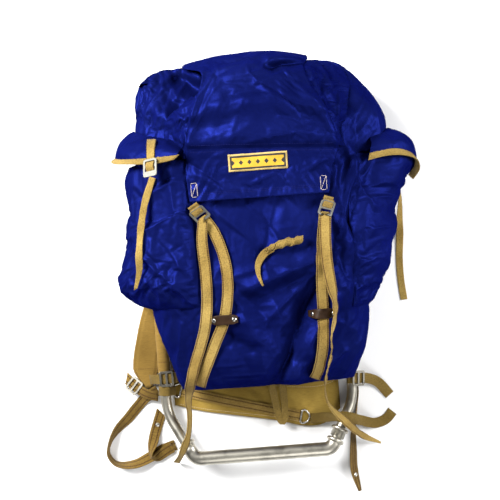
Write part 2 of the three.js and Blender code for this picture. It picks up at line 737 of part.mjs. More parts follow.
// Shoulder straps, from the top crossbar out under the uprights; only the lower left one is in sight
const SHOULDERS = {
  left: [
    [-50, 214], [-72, 130], [-108, 40], [-150, -40], [-182, -100], [-203, -170], [-209, -205], [-207, -242],
  ],
  right: [[44, 214], [66, 130], [98, 40], [122, -40], [134, -100], [138, -140], [138, -165], [138, -196]],
};
for (const [side, route] of Object.entries(SHOULDERS)) {
  const stations = lay(route, [], { width: SHOULDER_WIDTH, thick: PAD_THICK - GAP, every: 36, taut: 0 });
  add(`shoulder_strap_${side}`, ribbon(taper(stations, 1, 13), PAD_THICK - GAP, CUSHION), "canvas");
}

// Back band between the uprights, on the wearer's side, hanging askew
const BAND = table(
  ["x", "top", "low"],
  [
    [-161, -204, -268],
    [-110, -205, -284],
    [-40, -206, -299],
    [30, -208, -318],
    [78, -209, -334],
    [116, -210, -331],
    [146, -212, -306],
  ],
);
const BAND_COLUMNS = 12;
const BAND_ROWS = 5;
const BAND_EDGE = 0.7; // the band is this much thinner round its sewn edge
function buildBand() {
  const layer = (sign) =>
    Array.from({ length: BAND_ROWS + 1 }, (_, i) =>
      Array.from({ length: BAND_COLUMNS + 1 }, (_, j) => {
        const x = mix(BAND[0].x, BAND[BAND.length - 1].x, j / BAND_COLUMNS);
        const row = smoothRow(BAND, "x", x);
        const inside = Math.min(i, BAND_ROWS - i, j, BAND_COLUMNS - j) > 0;
        const half = (PAD_THICK - GAP) / 2;
        return at(x, mix(row.top, row.low, i / BAND_ROWS), half + sign * half * (inside ? 1 : BAND_EDGE));
      }),
    );
  return add("back_band", wall(layer(1), layer(-1)), "canvas");
}
buildBand();

// Webbing sewn along the band, with a wire ring at each end
const BAND_WEBBING = [[-146, -252], [-70, -275], [10, -297], [70, -314]];
const bandStations = lay(BAND_WEBBING, named("back_band"));
add("band_webbing", ribbon(bandStations), "webbing");

const RING_WIRE = 1.6;
const RING_WIDTH = 25;
const RING_DEPTH = 15;
// Half of the ring's outline, across and along it, from its butt joint
const RING_HALF = [[0.03, 0], [0.8, 0], [1, 0.17], [0.95, 0.45], [0.5, 0.9]];
function buildRing(name, plane) {
  const half = RING_WIDTH / 2;
  const mirrored = RING_HALF.toReversed().map(([across, along]) => [-across, along]);
  const outline = [...RING_HALF, [0, 1], ...mirrored];
  const spots = outline.map(([across, along]) => {
    const start = inPlane(plane, GAP + RING_WIRE + along * RING_DEPTH, RING_WIRE - WEB_THICK / 2 + GAP);
    return start.middle.addScaledVector(plane.side, -across * half);
  });
  add(name, tube(new THREE.CatmullRomCurve3(spots), RING_WIRE, 12, 6), "steel");
}
buildRing("d_ring_right", planeAt(bandStations, bandStations.length - 1));
const leftEnd = planeAt(bandStations, 0);
leftEnd.run.negate();
leftEnd.side.negate();
buildRing("d_ring_left", leftEnd);

// Hip straps, each with two stitched lines, lying loose on the floor and partly on edge
const HIP_WIDTH = 20;
const HIP_STRAPS = {
  left: [
    [-190, -247, 0.4], [-212, -258, 0.4], [-232, -277, 0, 8], [-250, -296, 0, 18], [-270, -314, 0, 45],
    [-286, -338, 0, 78], [-290, -360, 0, 84], [-276, -378, 0, 76], [-244, -381, 0, 50], [-214, -371, 0, 20],
    [-190, -360, 0, 4], [-168, -353, 0, 0],
  ],
  right: [
    [180.2, -252, 0, 88], [180.2, -280, 0, 86], [173, -320, 0, 74], [167, -348, 0, 60], [164, -385, 0, 45],
    [163, -422, 0, 42], [171, -463, 0, 30],
  ],
};
const HIP_FOLD_BACK = [
  [-172, -356, 3], [-188, -364, 3], [-202, -372, 3, 30], [-211, -371, 3.2, 66], [-212, -360, 3.2, 60],
  [-207, -344, 3.2, 20], [-200, -322, 1, 0], [-188, -290, 0, 0],
];
const hipOptions = { width: HIP_WIDTH, taut: 0 };
const hipLeft = [
  ...turnBack(lay(HIP_STRAPS.left, named("shoulder_strap_left"), hipOptions), 1.5, 0),
  ...lay(HIP_FOLD_BACK, [], { ...hipOptions, every: 12 }),
];
hipLeft[hipLeft.length - 1].slant = -5;
add("hip_strap_left", ribbon(hipLeft), "striped_webbing");
const hipRight = taper(lay(HIP_STRAPS.right, [], hipOptions), 2, 9);
add("hip_strap_right", ribbon(hipRight), "striped_webbing");

// Tabs that tie the band's rings to the uprights
const tabLeft = [[-157, 16.4], [-163, 24], [-168, 30.4], [-175, 31.6], [-182, 29.4], [-187, 22]];
const tabSide = at(0.1, 0.995, 0);
const tabStations = tabLeft.map(([x, z]) => {
  const middle = at(x, -249 - (x + 157) * 0.1, z);
  return { middle, side: tabSide, width: WEB_WIDTH - 2 };
});
add("band_tab_left", ribbon(tabStations), "webbing");
const TAB_RIGHT = [
  [89, -321, 0.2], [122, -317, 5], [150, -315, 2], [181, -329, 3], [207, -339, 1], [229, -334], [243, -320],
];
const tabBeds = named("back_band", "d_ring_right", "frame", "foot_bar", "foot_sleeve", "hip_strap_right");
add("band_tab_right", ribbon(lay(TAB_RIGHT, tabBeds, { every: 10 })), "webbing");

// The adjusting webbing at the foot of the left shoulder strap, with its slide
const SHOULDER_TAIL = [[-190, -258, 1], [-200, -256, 1], [-214, -250, 0], [-230, -239, 0], [-248, -222, 0]];
const tailStations = lay(SHOULDER_TAIL, named("hip_strap_left", "shoulder_strap_left"), { every: 11 });
add("shoulder_tail_left", ribbon(tailStations), "striped_webbing");
function slideOver(name, stations, i) {
  const plane = planeAt(stations, i);
  const bar = inPlane(plane, -SLIDE_SLOT - SLIDE_BAR, TURN_RADIUS + GAP).middle;
  add(name, placeSlide(slidePlate(WEB_WIDTH + 2, SLIDE_BAR), bar, plane.run, plane.out), "steel");
}
slideOver("shoulder_slide_left", tailStations, 4);

// Straps from the sack's lower corners over the uprights, each with a slide
const CORNERS = {
  left: [[-150, -224, 0.3], [-172, -224, 0.3], [-188, -225, 0.3], [-203, -226, 0.3]],
  right: [[160, -248, 0.3], [178, -249, 1], [197, -252, 1.5], [219, -263, 1], [240, -289]],
};
const cornerBeds = named("frame", "shoulder_strap_left", "hip_strap_right");
for (const [side, route] of Object.entries(CORNERS)) {
  const stations = lay(route, cornerBeds, { every: 9, taut: 8 });
  add(`corner_strap_${side}`, ribbon(stations), "webbing");
  slideOver(`corner_slide_${side}`, stations, 2);
}

// The two lid straps: sewn in at the sack's foot, up through a leather keeper to the buckle under the lid,
// round its lower bar and loose from there down over the pack to the floor
const LID_STRAPS = {
  left: {
    held: [
      [-104, -230], [-97, -211], [-72, -157], [-52, -114], [-42, -64], [-43, -17], [-53, 30], [-66, 54],
    ],
    loose: [
      [-68, 48, 3], [-77, 22, 1], [-77, -36], [-78, -78, 0, 10], [-84, -119, 0, 20], [-95, -154, 0, 10],
      [-109, -190, 1], [-123, -228, 2], [-133, -262, 6, 25], [-131, -292, 12, 40], [-135, -322, 8, 50],
      [-144, -345, 1, 20],
      [-158, -372, 3, 15], [-166, -384, 0, 0],
    ],
  },
  right: {
    held: [
      [95, -230], [102, -213], [110, -169, 1], [114, -115, 1.5], [115, -75, 1], [117, -29, 1], [123, 16, 0.6],
      [129, 46],
    ],
    loose: [
      [131, 40, 3], [132, 8, 1], [131, -30, 1], [133, -68, 1], [136, -102, 1], [131, -126, 1, 12],
      [124, -154, 1, 40], [125, -180, 1, 40], [118, -213, 1, 15], [114, -243, 3, 10], [117, -277, 6],
      [126, -296, 8], [149, -321, 2], [181, -355, 4], [216, -376, 0],
    ],
  },
};

// A leather keeper over the strap, held by a rivet at each end
const KEEPER = { reach: 23, width: 17, thick: 2.4 };
const KEEPER_TIP = 0.6; // its ends are this much narrower
const RIVET_RADIUS = 4;
const RIVET_RISE = 1.6;
function rivet(plane, along, above) {
  const arc = [0, 45, 90].map((degrees) => degrees * DEGREE);
  const dome = arc.map((a) => new THREE.Vector2(RIVET_RADIUS * Math.cos(a), RIVET_RISE * Math.sin(a)));
  const profile = [new THREE.Vector2(0, 0), ...dome.slice(0, -1), new THREE.Vector2(0, RIVET_RISE)];
  const shape = new THREE.LatheGeometry(profile, 8).rotateX(Math.PI / 2);
  const foot = inPlane(plane, along, above).middle;
  return placeSlide(shape, foot, plane.run, plane.out);
}

function buildKeeper(side, x, y, strap) {
  const route = [[x - KEEPER.reach, y], [x, y], [x + KEEPER.reach, y]];
  const stations = lay(route, [sack, strap], { ...KEEPER, every: 9, taut: 2 });
  stations[0].width = KEEPER.width * KEEPER_TIP;
  stations[stations.length - 1].width = KEEPER.width * KEEPER_TIP;
  add(`keeper_${side}`, ribbon(stations, KEEPER.thick), "leather");
  for (const [i, end] of [1, stations.length - 2].entries()) {
    const plane = planeAt(stations, end);
    add(`keeper_rivet_${side}_${i + 1}`, rivet(plane, 0, KEEPER.thick / 2 + 2 * GAP), "steel");
  }
}

const BUCKLE_TILT = 7 * DEGREE;
function buildLidStrap(side) {
  const { held, loose } = LID_STRAPS[side];
  const up = lay(held, [sack], { every: 19 });
  const plane = planeAt(up, up.length - 1);
  const turned = turnBack(up, TURN_RADIUS, 0);
  const heldPart = new THREE.Mesh(ribbon(turned), MATERIALS.webbing);
  const [x, y] = held[3];
  buildKeeper(side, x, y, heldPart);
  const frameParts = named("foot_bar", "frame", "foot_sleeve");
  const harness = named("back_band", "band_webbing", "band_tab_right", "hip_strap_right");
  const down = lay(loose, [sack, pocketLeft, heldPart, piece(`keeper_${side}`), ...frameParts, ...harness], {
    every: 19,
  });
  add(`lid_strap_${side}`, ribbon([...turned, ...down]), "webbing");
  const bar = inPlane(plane, -SLIDE_BAR / 2, TURN_RADIUS);
  plane.run.applyAxisAngle(plane.side, BUCKLE_TILT);
  plane.out.applyAxisAngle(plane.side, BUCKLE_TILT);
  const slide = slidePlate(WEB_WIDTH + 2, SLIDE_BAR);
  add(`lid_buckle_${side}`, placeSlide(slide, bar.middle, plane.run, plane.out), "alloy");
  const edge = LAST_BAR_AT - SLIDE_BAR;
  plane.side.negate();
  const tab = [edge + 12, edge + 6, edge].map((along) => inPlane(plane, along, 0));
  add(`lid_tab_${side}`, ribbon(turnBack(tab, TURN_RADIUS, 5)), "webbing");
}
buildLidStrap("left");
buildLidStrap("right");

// Left pocket strap: down over the flap, woven through the slide, and loose below it
const POCKET_STRAP = [[-152, 199, -3.2], [-152.5, 184, -3.2], [-153, 168, -2]];
const POCKET_WEB = 16;
const POCKET_TAIL = [[-171, 90], [-180, 48], [-186, 6], [-188, -20], [-198, -52]];
function buildPocketStrap() {
  const laid = lay(POCKET_STRAP, [flapLeft, bindingLeft], { every: 10, width: POCKET_WEB });
  const plane = planeAt(laid, laid.length - 1);
  const weave = table(["along", "height"], [[6, 0], [10.6, 0], [16.4, 2], [21.6, 2], [27.4, 0], [33, 0]]);
  const woven = weave.map((row) => inPlane(plane, row.along, row.height * TURN_RADIUS, POCKET_WEB));
  add("pocket_strap_left", ribbon([...laid, ...woven]), "webbing");
  const bar = inPlane(plane, 8, TURN_RADIUS).middle;
  add("pocket_buckle_left", placeSlide(slidePlate(POCKET_WEB + 2, 10), bar, plane.run, plane.out), "alloy");
  const start = inPlane(plane, 36, 0).middle;
  const tail = lay([[start.x, start.y], ...POCKET_TAIL], [sack, pocketLeft], { width: NARROW_WEB - 1 });
  add("pocket_tail_left", ribbon(tail), "webbing");
}
buildPocketStrap();

// Right pocket tail: hangs from the pocket's side to the floor
const POCKET_TAIL_RIGHT = [
  [272.5, 98, 55, 84], [279, 84, 36, 70], [281, 62, 13, 45], [281, 36, 2, 20], [281, 10], [277, -40],
  [277, -77], [280, -114],
];
add("pocket_tail_right", ribbon(lay(POCKET_TAIL_RIGHT, [], { width: NARROW_WEB })), "webbing");

// A twisted strap that lies on the front of the sack
const KNOT = [
  [86, 12, 1, 0], [76, 8, 2, 70], [62, 8, 3, 150], [46, 3, 4, 240], [33, -2, 4, 320], [22, -9, 3, 400],
  [12, -24, 1, 380], [11, -42, 0.5, 360], [17, -61, 0.3, 360],
];
add("knot_strap", ribbon(lay(KNOT, [sack], { width: NARROW_WEB + 1, every: 8 })), "webbing");

// Loop of narrow webbing at the foot of the sack
const FOOT_LOOP = [
  [21, -245, 40], [23, -262, 24], [26, -286, 8], [31, -312, 3], [36, -322, 3, 50], [41, -312, 4],
  [42, -286, 9], [41, -262, 25], [40, -245, 42],
];
const loopBeds = named("back_band", "band_webbing");
add("foot_loop", ribbon(lay(FOOT_LOOP, loopBeds, { width: NARROW_WEB, every: 11 })), "webbing");

// The plain patch on the lid's front flap
const PATCH = { left: -25, right: 73, low: 131, high: 159, thick: 1 };
function buildPatch() {
  const layer = (lift) =>
    [0, 1, 2].map((i) =>
      Array.from({ length: 7 }, (_, j) => {
        const x = mix(PATCH.left, PATCH.right, j / 6);
        const y = mix(PATCH.low, PATCH.high, i / 2);
        return at(x, y, heightAt([lid], x, y) + 2 * GAP + lift);
      }),
    );
  add("patch", wall(layer(PATCH.thick), layer(0)), "label");
}
buildPatch();

// Eyelets and rivets near the ends of the hip straps
add("hip_rivet_left", rivet(planeAt(hipLeft, hipLeft.length - 3), 0, WEB_THICK / 2 + GAP), "steel");
add("hip_eyelet_right", rivet(planeAt(hipRight, hipRight.length - 3), 0, WEB_THICK / 2 + GAP), "steel");

// The whole pack is moved so that the origin is on the floor under the middle of its box
const box = new THREE.Box3().setFromObject(pack);
const middle = box.getCenter(at(0, 0, 0));
for (const mesh of pack.children) mesh.geometry.translate(-middle.x, -middle.y, -box.min.z);

export default pack;
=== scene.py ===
"""Looks of an external frame rucksack that lies on its back with its straps loose around it.

Everything is worked out in the pack's own plan, in millimetres: +X to its right, +Y to its lid and
+Z up from the floor. The finished points are moved to the frame's origin and turned into metres.
"""
import math

import bmesh
import bpy
import numpy as np
from mathutils import Matrix, Vector, noise
from mathutils.bvhtree import BVHTree


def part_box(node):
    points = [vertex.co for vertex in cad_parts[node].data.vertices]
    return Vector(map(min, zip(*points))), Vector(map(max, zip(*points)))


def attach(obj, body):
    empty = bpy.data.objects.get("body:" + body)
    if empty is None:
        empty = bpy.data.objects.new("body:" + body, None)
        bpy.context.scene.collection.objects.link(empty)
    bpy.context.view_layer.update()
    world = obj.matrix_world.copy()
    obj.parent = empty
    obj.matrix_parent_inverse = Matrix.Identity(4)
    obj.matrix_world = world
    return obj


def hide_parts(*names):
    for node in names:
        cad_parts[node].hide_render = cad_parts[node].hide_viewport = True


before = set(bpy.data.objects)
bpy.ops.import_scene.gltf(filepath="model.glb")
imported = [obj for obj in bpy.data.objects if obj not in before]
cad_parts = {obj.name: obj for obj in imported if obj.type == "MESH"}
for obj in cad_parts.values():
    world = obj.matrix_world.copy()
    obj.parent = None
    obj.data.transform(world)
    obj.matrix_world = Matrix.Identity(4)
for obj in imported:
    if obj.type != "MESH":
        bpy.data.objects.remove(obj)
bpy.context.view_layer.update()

# Driving sizes
GAP = 0.4
CLOTH = 1.2
WEB_WIDTH = 19
WEB_THICK = 1.6
NARROW_WEB = 13
PAD_THICK = 10
SHOULDER_WIDTH = 50
TUBE_RADIUS = 9.5
CROSSBAR_RADIUS = 7
FOOT_RADIUS = 12.7
COLLAR_RADIUS = 16
FRAME_MIDDLE = -3
FRAME_HALF = 172
FRAME_TOP = 292
FRAME_BEND = 60
KNEE_BEND = 24
FOOT_BEND = 12
FRAME_Z = PAD_THICK + GAP + TUBE_RADIUS
KNEE_Y = -288
FOOT_Y = -371
FOOT_HALF = 124
FOOT_RISE = 25
CROSSBAR_YS = (205, 60, -95, -222)
FRAME_FRONT = FRAME_Z + TUBE_RADIUS
SACK_BACK = FRAME_FRONT - 0.3
MESH_STEP = 3.0  # spacing of the cloth grids

# The plan is moved by this much to the frame's origin, found from the left and top edges of the back band
BAND_LEFT = -161
BAND_TOP = -204
band_low, band_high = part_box("back_band")
SHIFT = np.array([1000 * band_low.x - BAND_LEFT, 1000 * band_high.y - BAND_TOP, 0.0])
UP = np.array([0.0, 0.0, 1.0])


def metres(points):
    return (np.asarray(points, float) + SHIFT) / 1000


# Small helpers
def ease(t):
    t = np.clip(t, 0, 1)
    return t * t * (3 - 2 * t)


def unit(vector):
    vector = np.asarray(vector, float)
    return vector / (np.linalg.norm(vector, axis=-1, keepdims=True) + 1e-12)


def smooth(rows, value):
    """Every column of a table at values of its first column, on a smooth curve through its rows."""
    rows = np.asarray(rows, float)
    if rows[0, 0] > rows[-1, 0]:
        rows = rows[::-1]
    key = rows[:, 0]
    value = np.clip(np.asarray(value, float), key[0], key[-1])
    i = np.clip(np.searchsorted(key, value) - 1, 0, len(key) - 2)
    before = np.maximum(i - 1, 0)
    after = np.minimum(i + 2, len(key) - 1)
    span = (key[i + 1] - key[i])[..., None]
    t = (value - key[i])[..., None] / span
    slope_a = (rows[i + 1] - rows[before]) / (key[i + 1] - key[before])[..., None] * span
    slope_b = (rows[after] - rows[i]) / (key[after] - key[i])[..., None] * span
    start = rows[i] * (2 * t**3 - 3 * t**2 + 1) + slope_a * (t**3 - 2 * t**2 + t)
    return start + rows[i + 1] * (3 * t**2 - 2 * t**3) + slope_b * (t**3 - t**2)


def distances(points):
    """How far along a line each of its points is."""
    return np.concatenate([[0], np.cumsum(np.linalg.norm(np.diff(points, axis=0), axis=1))])


def even_places(points, step):
    """Indices, with fractions, that split a dense line of points into even steps."""
    run = distances(points)
    count = max(2, round(run[-1] / step) + 1)
    return np.interp(np.linspace(0, run[-1], count), run, np.arange(len(run)))


def grid_faces(rows, columns, closed=False):
    index = np.arange(rows * columns).reshape(rows, columns)
    left = index if closed else index[:, :-1]
    right = np.roll(index, -1, 1) if closed else index[:, 1:]
    return np.stack([left[:-1], right[:-1], right[1:], left[1:]], -1).reshape(-1, 4).tolist()


def new_mesh(name, points, faces, look, uv=None, solid=False):
    """A smooth-shaded mesh object from points of the plan."""
    mesh = bpy.data.meshes.new(name)
    mesh.from_pydata(metres(points).tolist(), [], faces)
    if uv is not None:
        loops = np.zeros(len(mesh.loops), int)
        mesh.loops.foreach_get("vertex_index", loops)
        layer = mesh.uv_layers.new(name="UVMap")
        layer.data.foreach_set("uv", np.asarray(uv, np.float32)[loops].ravel())
    if solid:
        work = bmesh.new()
        work.from_mesh(mesh)
        bmesh.ops.recalc_face_normals(work, faces=work.faces)
        work.to_mesh(mesh)
        work.free()
    mesh.polygons.foreach_set("use_smooth", np.ones(len(mesh.polygons), bool))
    mesh.materials.append(look)
    obj = bpy.data.objects.new(name, mesh)
    bpy.context.scene.collection.objects.link(obj)
    return obj


def dress(obj, slot, *nodes):
    """A piece rides on the pack and stands for its solids. Its slot is not used."""
    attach(obj, "root")
    if nodes:
        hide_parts(*nodes)
    return obj


def final_points(obj):
    """The points, in the plan, and the faces of an object with its modifiers."""
    evaluated = obj.evaluated_get(bpy.context.evaluated_depsgraph_get())
    mesh = evaluated.to_mesh()
    points = np.zeros(3 * len(mesh.vertices))
    mesh.vertices.foreach_get("co", points)
    faces = [tuple(face.vertices) for face in mesh.polygons]
    evaluated.to_mesh_clear()
    return points.reshape(-1, 3) * 1000 - SHIFT, faces


BEDS = {}  # what straps can lie on, by name


def as_bed(name, obj):
    points, faces = final_points(obj)
    BEDS[name] = BVHTree.FromPolygons(points.tolist(), faces)
    return obj


def height(beds, x, y):
    """The height of the top of some beds at a place, or of the floor."""
    best = 0.0
    for name in beds:
        hit = BEDS[name].ray_cast(Vector((x, y, 900)), Vector((0, 0, -1)))[0]
        if hit is not None:
            best = max(best, hit.z)
    return best


# Materials
class Look:
    """A material with short calls for its nodes."""

    def __init__(self, name, **sockets):
        self.material = bpy.data.materials.new(name)
        self.material.use_nodes = True
        self.tree = self.material.node_tree
        self.shader = self.tree.nodes["Principled BSDF"]
        for key, value in sockets.items():
            self.shader.inputs[key.replace("_", " ")].default_value = value

    def node(self, kind, settings=None, **inputs):
        node = self.tree.nodes.new("ShaderNode" + kind)
        for key, value in (settings or {}).items():
            setattr(node, key, value)
        for key, value in inputs.items():
            socket = node.inputs[int(key[1:])] if key[1:].isdigit() else node.inputs[key.replace("_", " ")]
            if isinstance(value, bpy.types.NodeSocket):
                self.tree.links.new(value, socket)
            else:
                socket.default_value = value
        return node

    def math(self, operation, a, b=0.0):
        return self.node("Math", {"operation": operation}, i0=a, i1=b).outputs[0]

    def off(self, value, middle):
        """How far a value is from a middle one."""
        return self.math("ABSOLUTE", self.math("SUBTRACT", value, middle))

    def waves(self, value, pace):
        return self.math("SINE", self.math("MULTIPLY", value, pace))

    def place(self):
        return self.node("TexCoord").outputs["Object"]

    def weave(self, place, scale, distortion):
        """The waves of the warp and the weft of a plain weave."""
        made = []
        for way in "XY":
            along = {"bands_direction": way}
            wave = self.node("TexWave", along, i0=place, Scale=scale, Distortion=distortion)
            made.append(wave.outputs["Fac"])
        return made

    def stretch(self, place, scale):
        return self.node("Mapping", i0=place, Scale=scale).outputs[0]

    def noise(self, place, scale, detail=3.0, roughness=0.55):
        made = self.node("TexNoise", i0=place, Scale=scale, Detail=detail, Roughness=roughness)
        return made.outputs["Fac"]

    def ramp(self, value, stops):
        node = self.node("ValToRGB", Fac=value)
        ramp = node.color_ramp
        while len(ramp.elements) < len(stops):
            ramp.elements.new(0.5)
        for element, (at, color) in zip(ramp.elements, stops):
            element.position = at
            element.color = (*color, 1) if len(color) == 3 else color
        return node.outputs["Color"]

    def grey(self, value, stops):
        return self.ramp(value, [(at, (level,) * 3) for at, level in stops])

    def mix(self, share, a, b, blend="MIX"):
        made = self.node("Mix", {"data_type": "RGBA", "blend_type": blend}, i0=share, i6=a, i7=b)
        return made.outputs[2]

    def bump(self, heights):
        """One bump after another, each a height and its distance in millimetres."""
        normal = None
        for value, distance in heights:
            extra = {"Normal": normal} if normal is not None else {}
            made = self.node("Bump", Strength=0.7, Distance=distance / 1000, Height=value, **extra)
            normal = made.outputs[0]
        self.link("Normal", normal)

    def link(self, socket, output):
        self.tree.links.new(output, self.shader.inputs[socket])


def nylon(name, deep, bright, wear):
    """Coated nylon: a fine plain weave under a soft gloss, a little faded where it is rubbed."""
    look = Look(name, Metallic=0.5, Specular_IOR_Level=0.0, Specular_Tint=(0.09, 0.11, 0.4, 1))
    place = look.place()
    broad = look.noise(place, 9.0, 4.0)
    cloudy = look.noise(place, 42.0, 3.0)
    base = look.ramp(broad, [(0.3, deep), (0.72, bright)])
    rubbed = look.grey(cloudy, [(0.55, 0.0), (0.8, wear)])
    look.link("Base Color", look.mix(rubbed, base, (*(1.6 * np.array(bright) + 0.004), 1)))
    look.link("Roughness", look.grey(cloudy, [(0.3, 0.45), (0.75, 0.56)]))
    weave = look.math("MULTIPLY", *look.weave(place, 260.0, 0.6))
    creases = look.off(look.noise(place, 48.0, 2.0, 0.5), 0.5)
    crush = look.noise(place, 120.0, 4.0, 0.6)
    look.bump([(creases, 1.0), (crush, 0.4), (weave, 0.05)])
    return look.material


RIB = 0.18  # the spacing of a tape's ribs, in centimetres


def cotton(name, dark, light, lines, soil):
    """Woven cotton tape that reads its own width and length, in centimetres: ribs, soil, and two sewn lines
    at one distance from its middle, or none where that is zero."""
    look = Look(name, Roughness=0.9, Sheen_Weight=0.06, Sheen_Roughness=0.6, Specular_IOR_Level=0.1)
    uv = look.node("UVMap").outputs[0]
    axes = look.node("SeparateXYZ", i0=uv)
    across = look.math("ABSOLUTE", axes.outputs[0])
    slanted = look.math("ADD", look.math("MULTIPLY", across, 0.9), axes.outputs[1])
    twill = look.waves(slanted, 2 * math.pi / RIB)
    ribs = look.waves(axes.outputs[0], 2 * math.pi / (0.8 * RIB))
    weave = look.math("ADD", look.math("MULTIPLY", twill, 0.5), look.math("MULTIPLY", ribs, 0.5))
    spread = look.noise(look.place(), 16.0, 4.0)
    fibre = look.noise(look.stretch(uv, (14.0, 3.0, 1.0)), 6.0, 3.0)
    color = look.ramp(spread, [(0.3, dark), (0.66, light)])
    color = look.mix(look.grey(fibre, [(0.35, 0.0), (0.75, soil)]), color, (*(0.5 * np.array(dark)), 1))
    threads = look.grey(look.math("MULTIPLY_ADD", weave, 0.5), [(0.0, 0.6), (1.0, 1.0)])
    color = look.mix(1.0, color, threads, "MULTIPLY")
    grain = look.noise(look.stretch(uv, (1.0, 0.6, 1.0)), 5.5, 2.0, 0.7)
    color = look.mix(1.0, color, look.grey(grain, [(0.34, 0.6), (0.6, 1.08)]), "MULTIPLY")
    heights = [(weave, 0.25), (fibre, 0.2), (grain, 0.5)]
    if lines:
        off = look.off(across, lines)
        sewn = look.math("LESS_THAN", off, 0.1)
        dashes = look.math("GREATER_THAN", look.waves(axes.outputs[1], 20.0), -0.75)
        stitch = look.math("MULTIPLY", sewn, dashes)
        color = look.mix(stitch, color, (0.04, 0.014, 0.005, 1))
        heights.append((look.grey(off, [(0.0, 0.0), (0.12, 1.0)]), 0.5))
    look.link("Base Color", color)
    look.bump(heights)
    return look.material


def canvas(name, dark, light):
    """Heavy cotton canvas with a visible plain weave, darker where it has been handled."""
    look = Look(name, Roughness=0.92, Sheen_Weight=0.06, Sheen_Roughness=0.6, Specular_IOR_Level=0.1)
    place = look.place()
    handled = look.noise(place, 11.0, 5.0)
    slub = look.noise(look.stretch(place, (60.0, 400.0, 60.0)), 2.0, 2.0)
    weave = look.math("MAXIMUM", *look.weave(place, 150.0, 1.0))
    color = look.ramp(handled, [(0.3, dark), (0.7, light)])
    color = look.mix(look.grey(slub, [(0.4, 0.0), (0.75, 0.4)]), color, (*(0.55 * np.array(dark)), 1))
    look.link("Base Color", look.mix(1.0, color, look.grey(weave, [(0.0, 0.7), (1.0, 1.0)]), "MULTIPLY"))
    look.bump([(weave, 0.25), (slub, 0.15)])
    return look.material


def leather(name, dark, light):
    look = Look(name, Specular_IOR_Level=0.2)
    place = look.place()
    cells = look.node("TexVoronoi", {"feature": "DISTANCE_TO_EDGE"}, i0=place, Scale=900.0)
    patches = look.noise(place, 60.0, 4.0)
    look.link("Base Color", look.ramp(patches, [(0.3, dark), (0.7, light)]))
    look.link("Roughness", look.grey(patches, [(0.3, 0.4), (0.7, 0.62)]))
    look.bump([(cells.outputs["Distance"], 0.2)])
    return look.material


def metal(name, color, smooth_at, rough_at, scratch):
    """Bare or plated metal with fine scratches, and duller where it is worn."""
    look = Look(name, Metallic=1.0)
    place = look.place()
    lines = look.noise(look.stretch(place, (40.0, 900.0, 300.0)), 1.0, 3.0, 0.7)
    crossing = look.noise(look.stretch(place, (700.0, 60.0, 300.0)), 1.0, 3.0, 0.7)
    dull = look.noise(place, 26.0, 5.0, 0.65)
    marks = look.math("MULTIPLY", look.math("ADD", lines, crossing), 0.5)
    dark, pale = (tuple(share * c for c in color) for share in (0.55, 1.08))
    look.link("Base Color", look.ramp(dull, [(0.28, dark), (0.5, color), (0.8, pale)]))
    worn = look.math("ADD", marks, look.math("MULTIPLY", dull, 0.5))
    look.link("Roughness", look.grey(worn, [(0.5, smooth_at), (0.95, rough_at)]))
    look.bump([(marks, scratch)])
    return look.material


def label(name):
    """A woven gold patch with a black border and a row of black lozenges, read from its own two axes."""
    look = Look(name, Roughness=0.75, Sheen_Weight=0.3)
    axes = look.node("SeparateXYZ", i0=look.node("UVMap").outputs[0])
    x, y = axes.outputs[0], axes.outputs[1]
    edge_x, edge_y = look.off(x, 0.5), look.off(y, 0.5)
    reach = look.math("MAXIMUM", look.math("ADD", look.math("MULTIPLY", edge_x, 3.4), -1.2), edge_y)
    inside = look.math("LESS_THAN", reach, 0.36)
    ring = look.math("SUBTRACT", look.math("LESS_THAN", reach, 0.4), look.math("LESS_THAN", reach, 0.29))
    cell = look.off(look.math("FRACT", look.math("MULTIPLY", x, 7.0)), 0.5)
    lozenge = look.math("LESS_THAN", look.math("ADD", look.math("MULTIPLY", cell, 0.55), edge_y), 0.15)
    black = look.math("MAXIMUM", ring, look.math("MULTIPLY", lozenge, inside))
    gold = look.mix(inside, (0.6, 0.42, 0.13, 1), (0.74, 0.42, 0.015, 1))
    threads = look.waves(y, 150.0)
    color = look.mix(black, gold, (0.012, 0.011, 0.01, 1))
    shade = look.grey(look.math("MULTIPLY_ADD", threads, 0.5), [(0.0, 0.75), (1.0, 1.0)])
    look.link("Base Color", look.mix(1.0, color, shade, "MULTIPLY"))
    look.bump([(threads, 0.15)])
    return look.material


def thread(name, color):
    look = Look(name, Roughness=0.8, Specular_IOR_Level=0.2)
    twist = look.noise(look.place(), 900.0, 2.0)
    dark = tuple(0.6 * c for c in color)
    look.link("Base Color", look.ramp(twist, [(0.3, dark), (0.7, color)]))
    look.bump([(twist, 0.1)])
    return look.material


BLUE = nylon("blue_nylon", (0.003, 0.0056, 0.062), (0.0056, 0.0102, 0.1), 0.12)
TAN = cotton("tan_webbing", (0.3, 0.186, 0.041), (0.57, 0.39, 0.107), 0.77, 0.4)
PLAIN_TAN = cotton("plain_tan_webbing", (0.26, 0.16, 0.034), (0.46, 0.31, 0.085), 0.0, 0.4)
STRIPED = cotton("striped_webbing", (0.19, 0.112, 0.02), (0.34, 0.21, 0.047), 0.48, 0.45)
OLIVE = cotton("olive_webbing", (0.13, 0.075, 0.014), (0.27, 0.165, 0.04), 0.3, 0.5)
DARK_TAN = cotton("dark_tan_webbing", (0.17, 0.108, 0.022), (0.31, 0.205, 0.05), 0.0, 0.4)
BAND_TAPE = cotton("band_webbing_cotton", (0.3, 0.185, 0.04), (0.48, 0.315, 0.085), 0.5, 0.4)
STRAP_CANVAS = canvas("strap_canvas", (0.185, 0.108, 0.021), (0.3, 0.182, 0.04))
BAND_CANVAS = canvas("band_canvas", (0.27, 0.172, 0.03), (0.41, 0.272, 0.055))
PIPING = canvas("piping_canvas", (0.45, 0.29, 0.07), (0.68, 0.47, 0.15))
LEATHER = leather("brown_leather", (0.012, 0.005, 0.0015), (0.034, 0.015, 0.005))
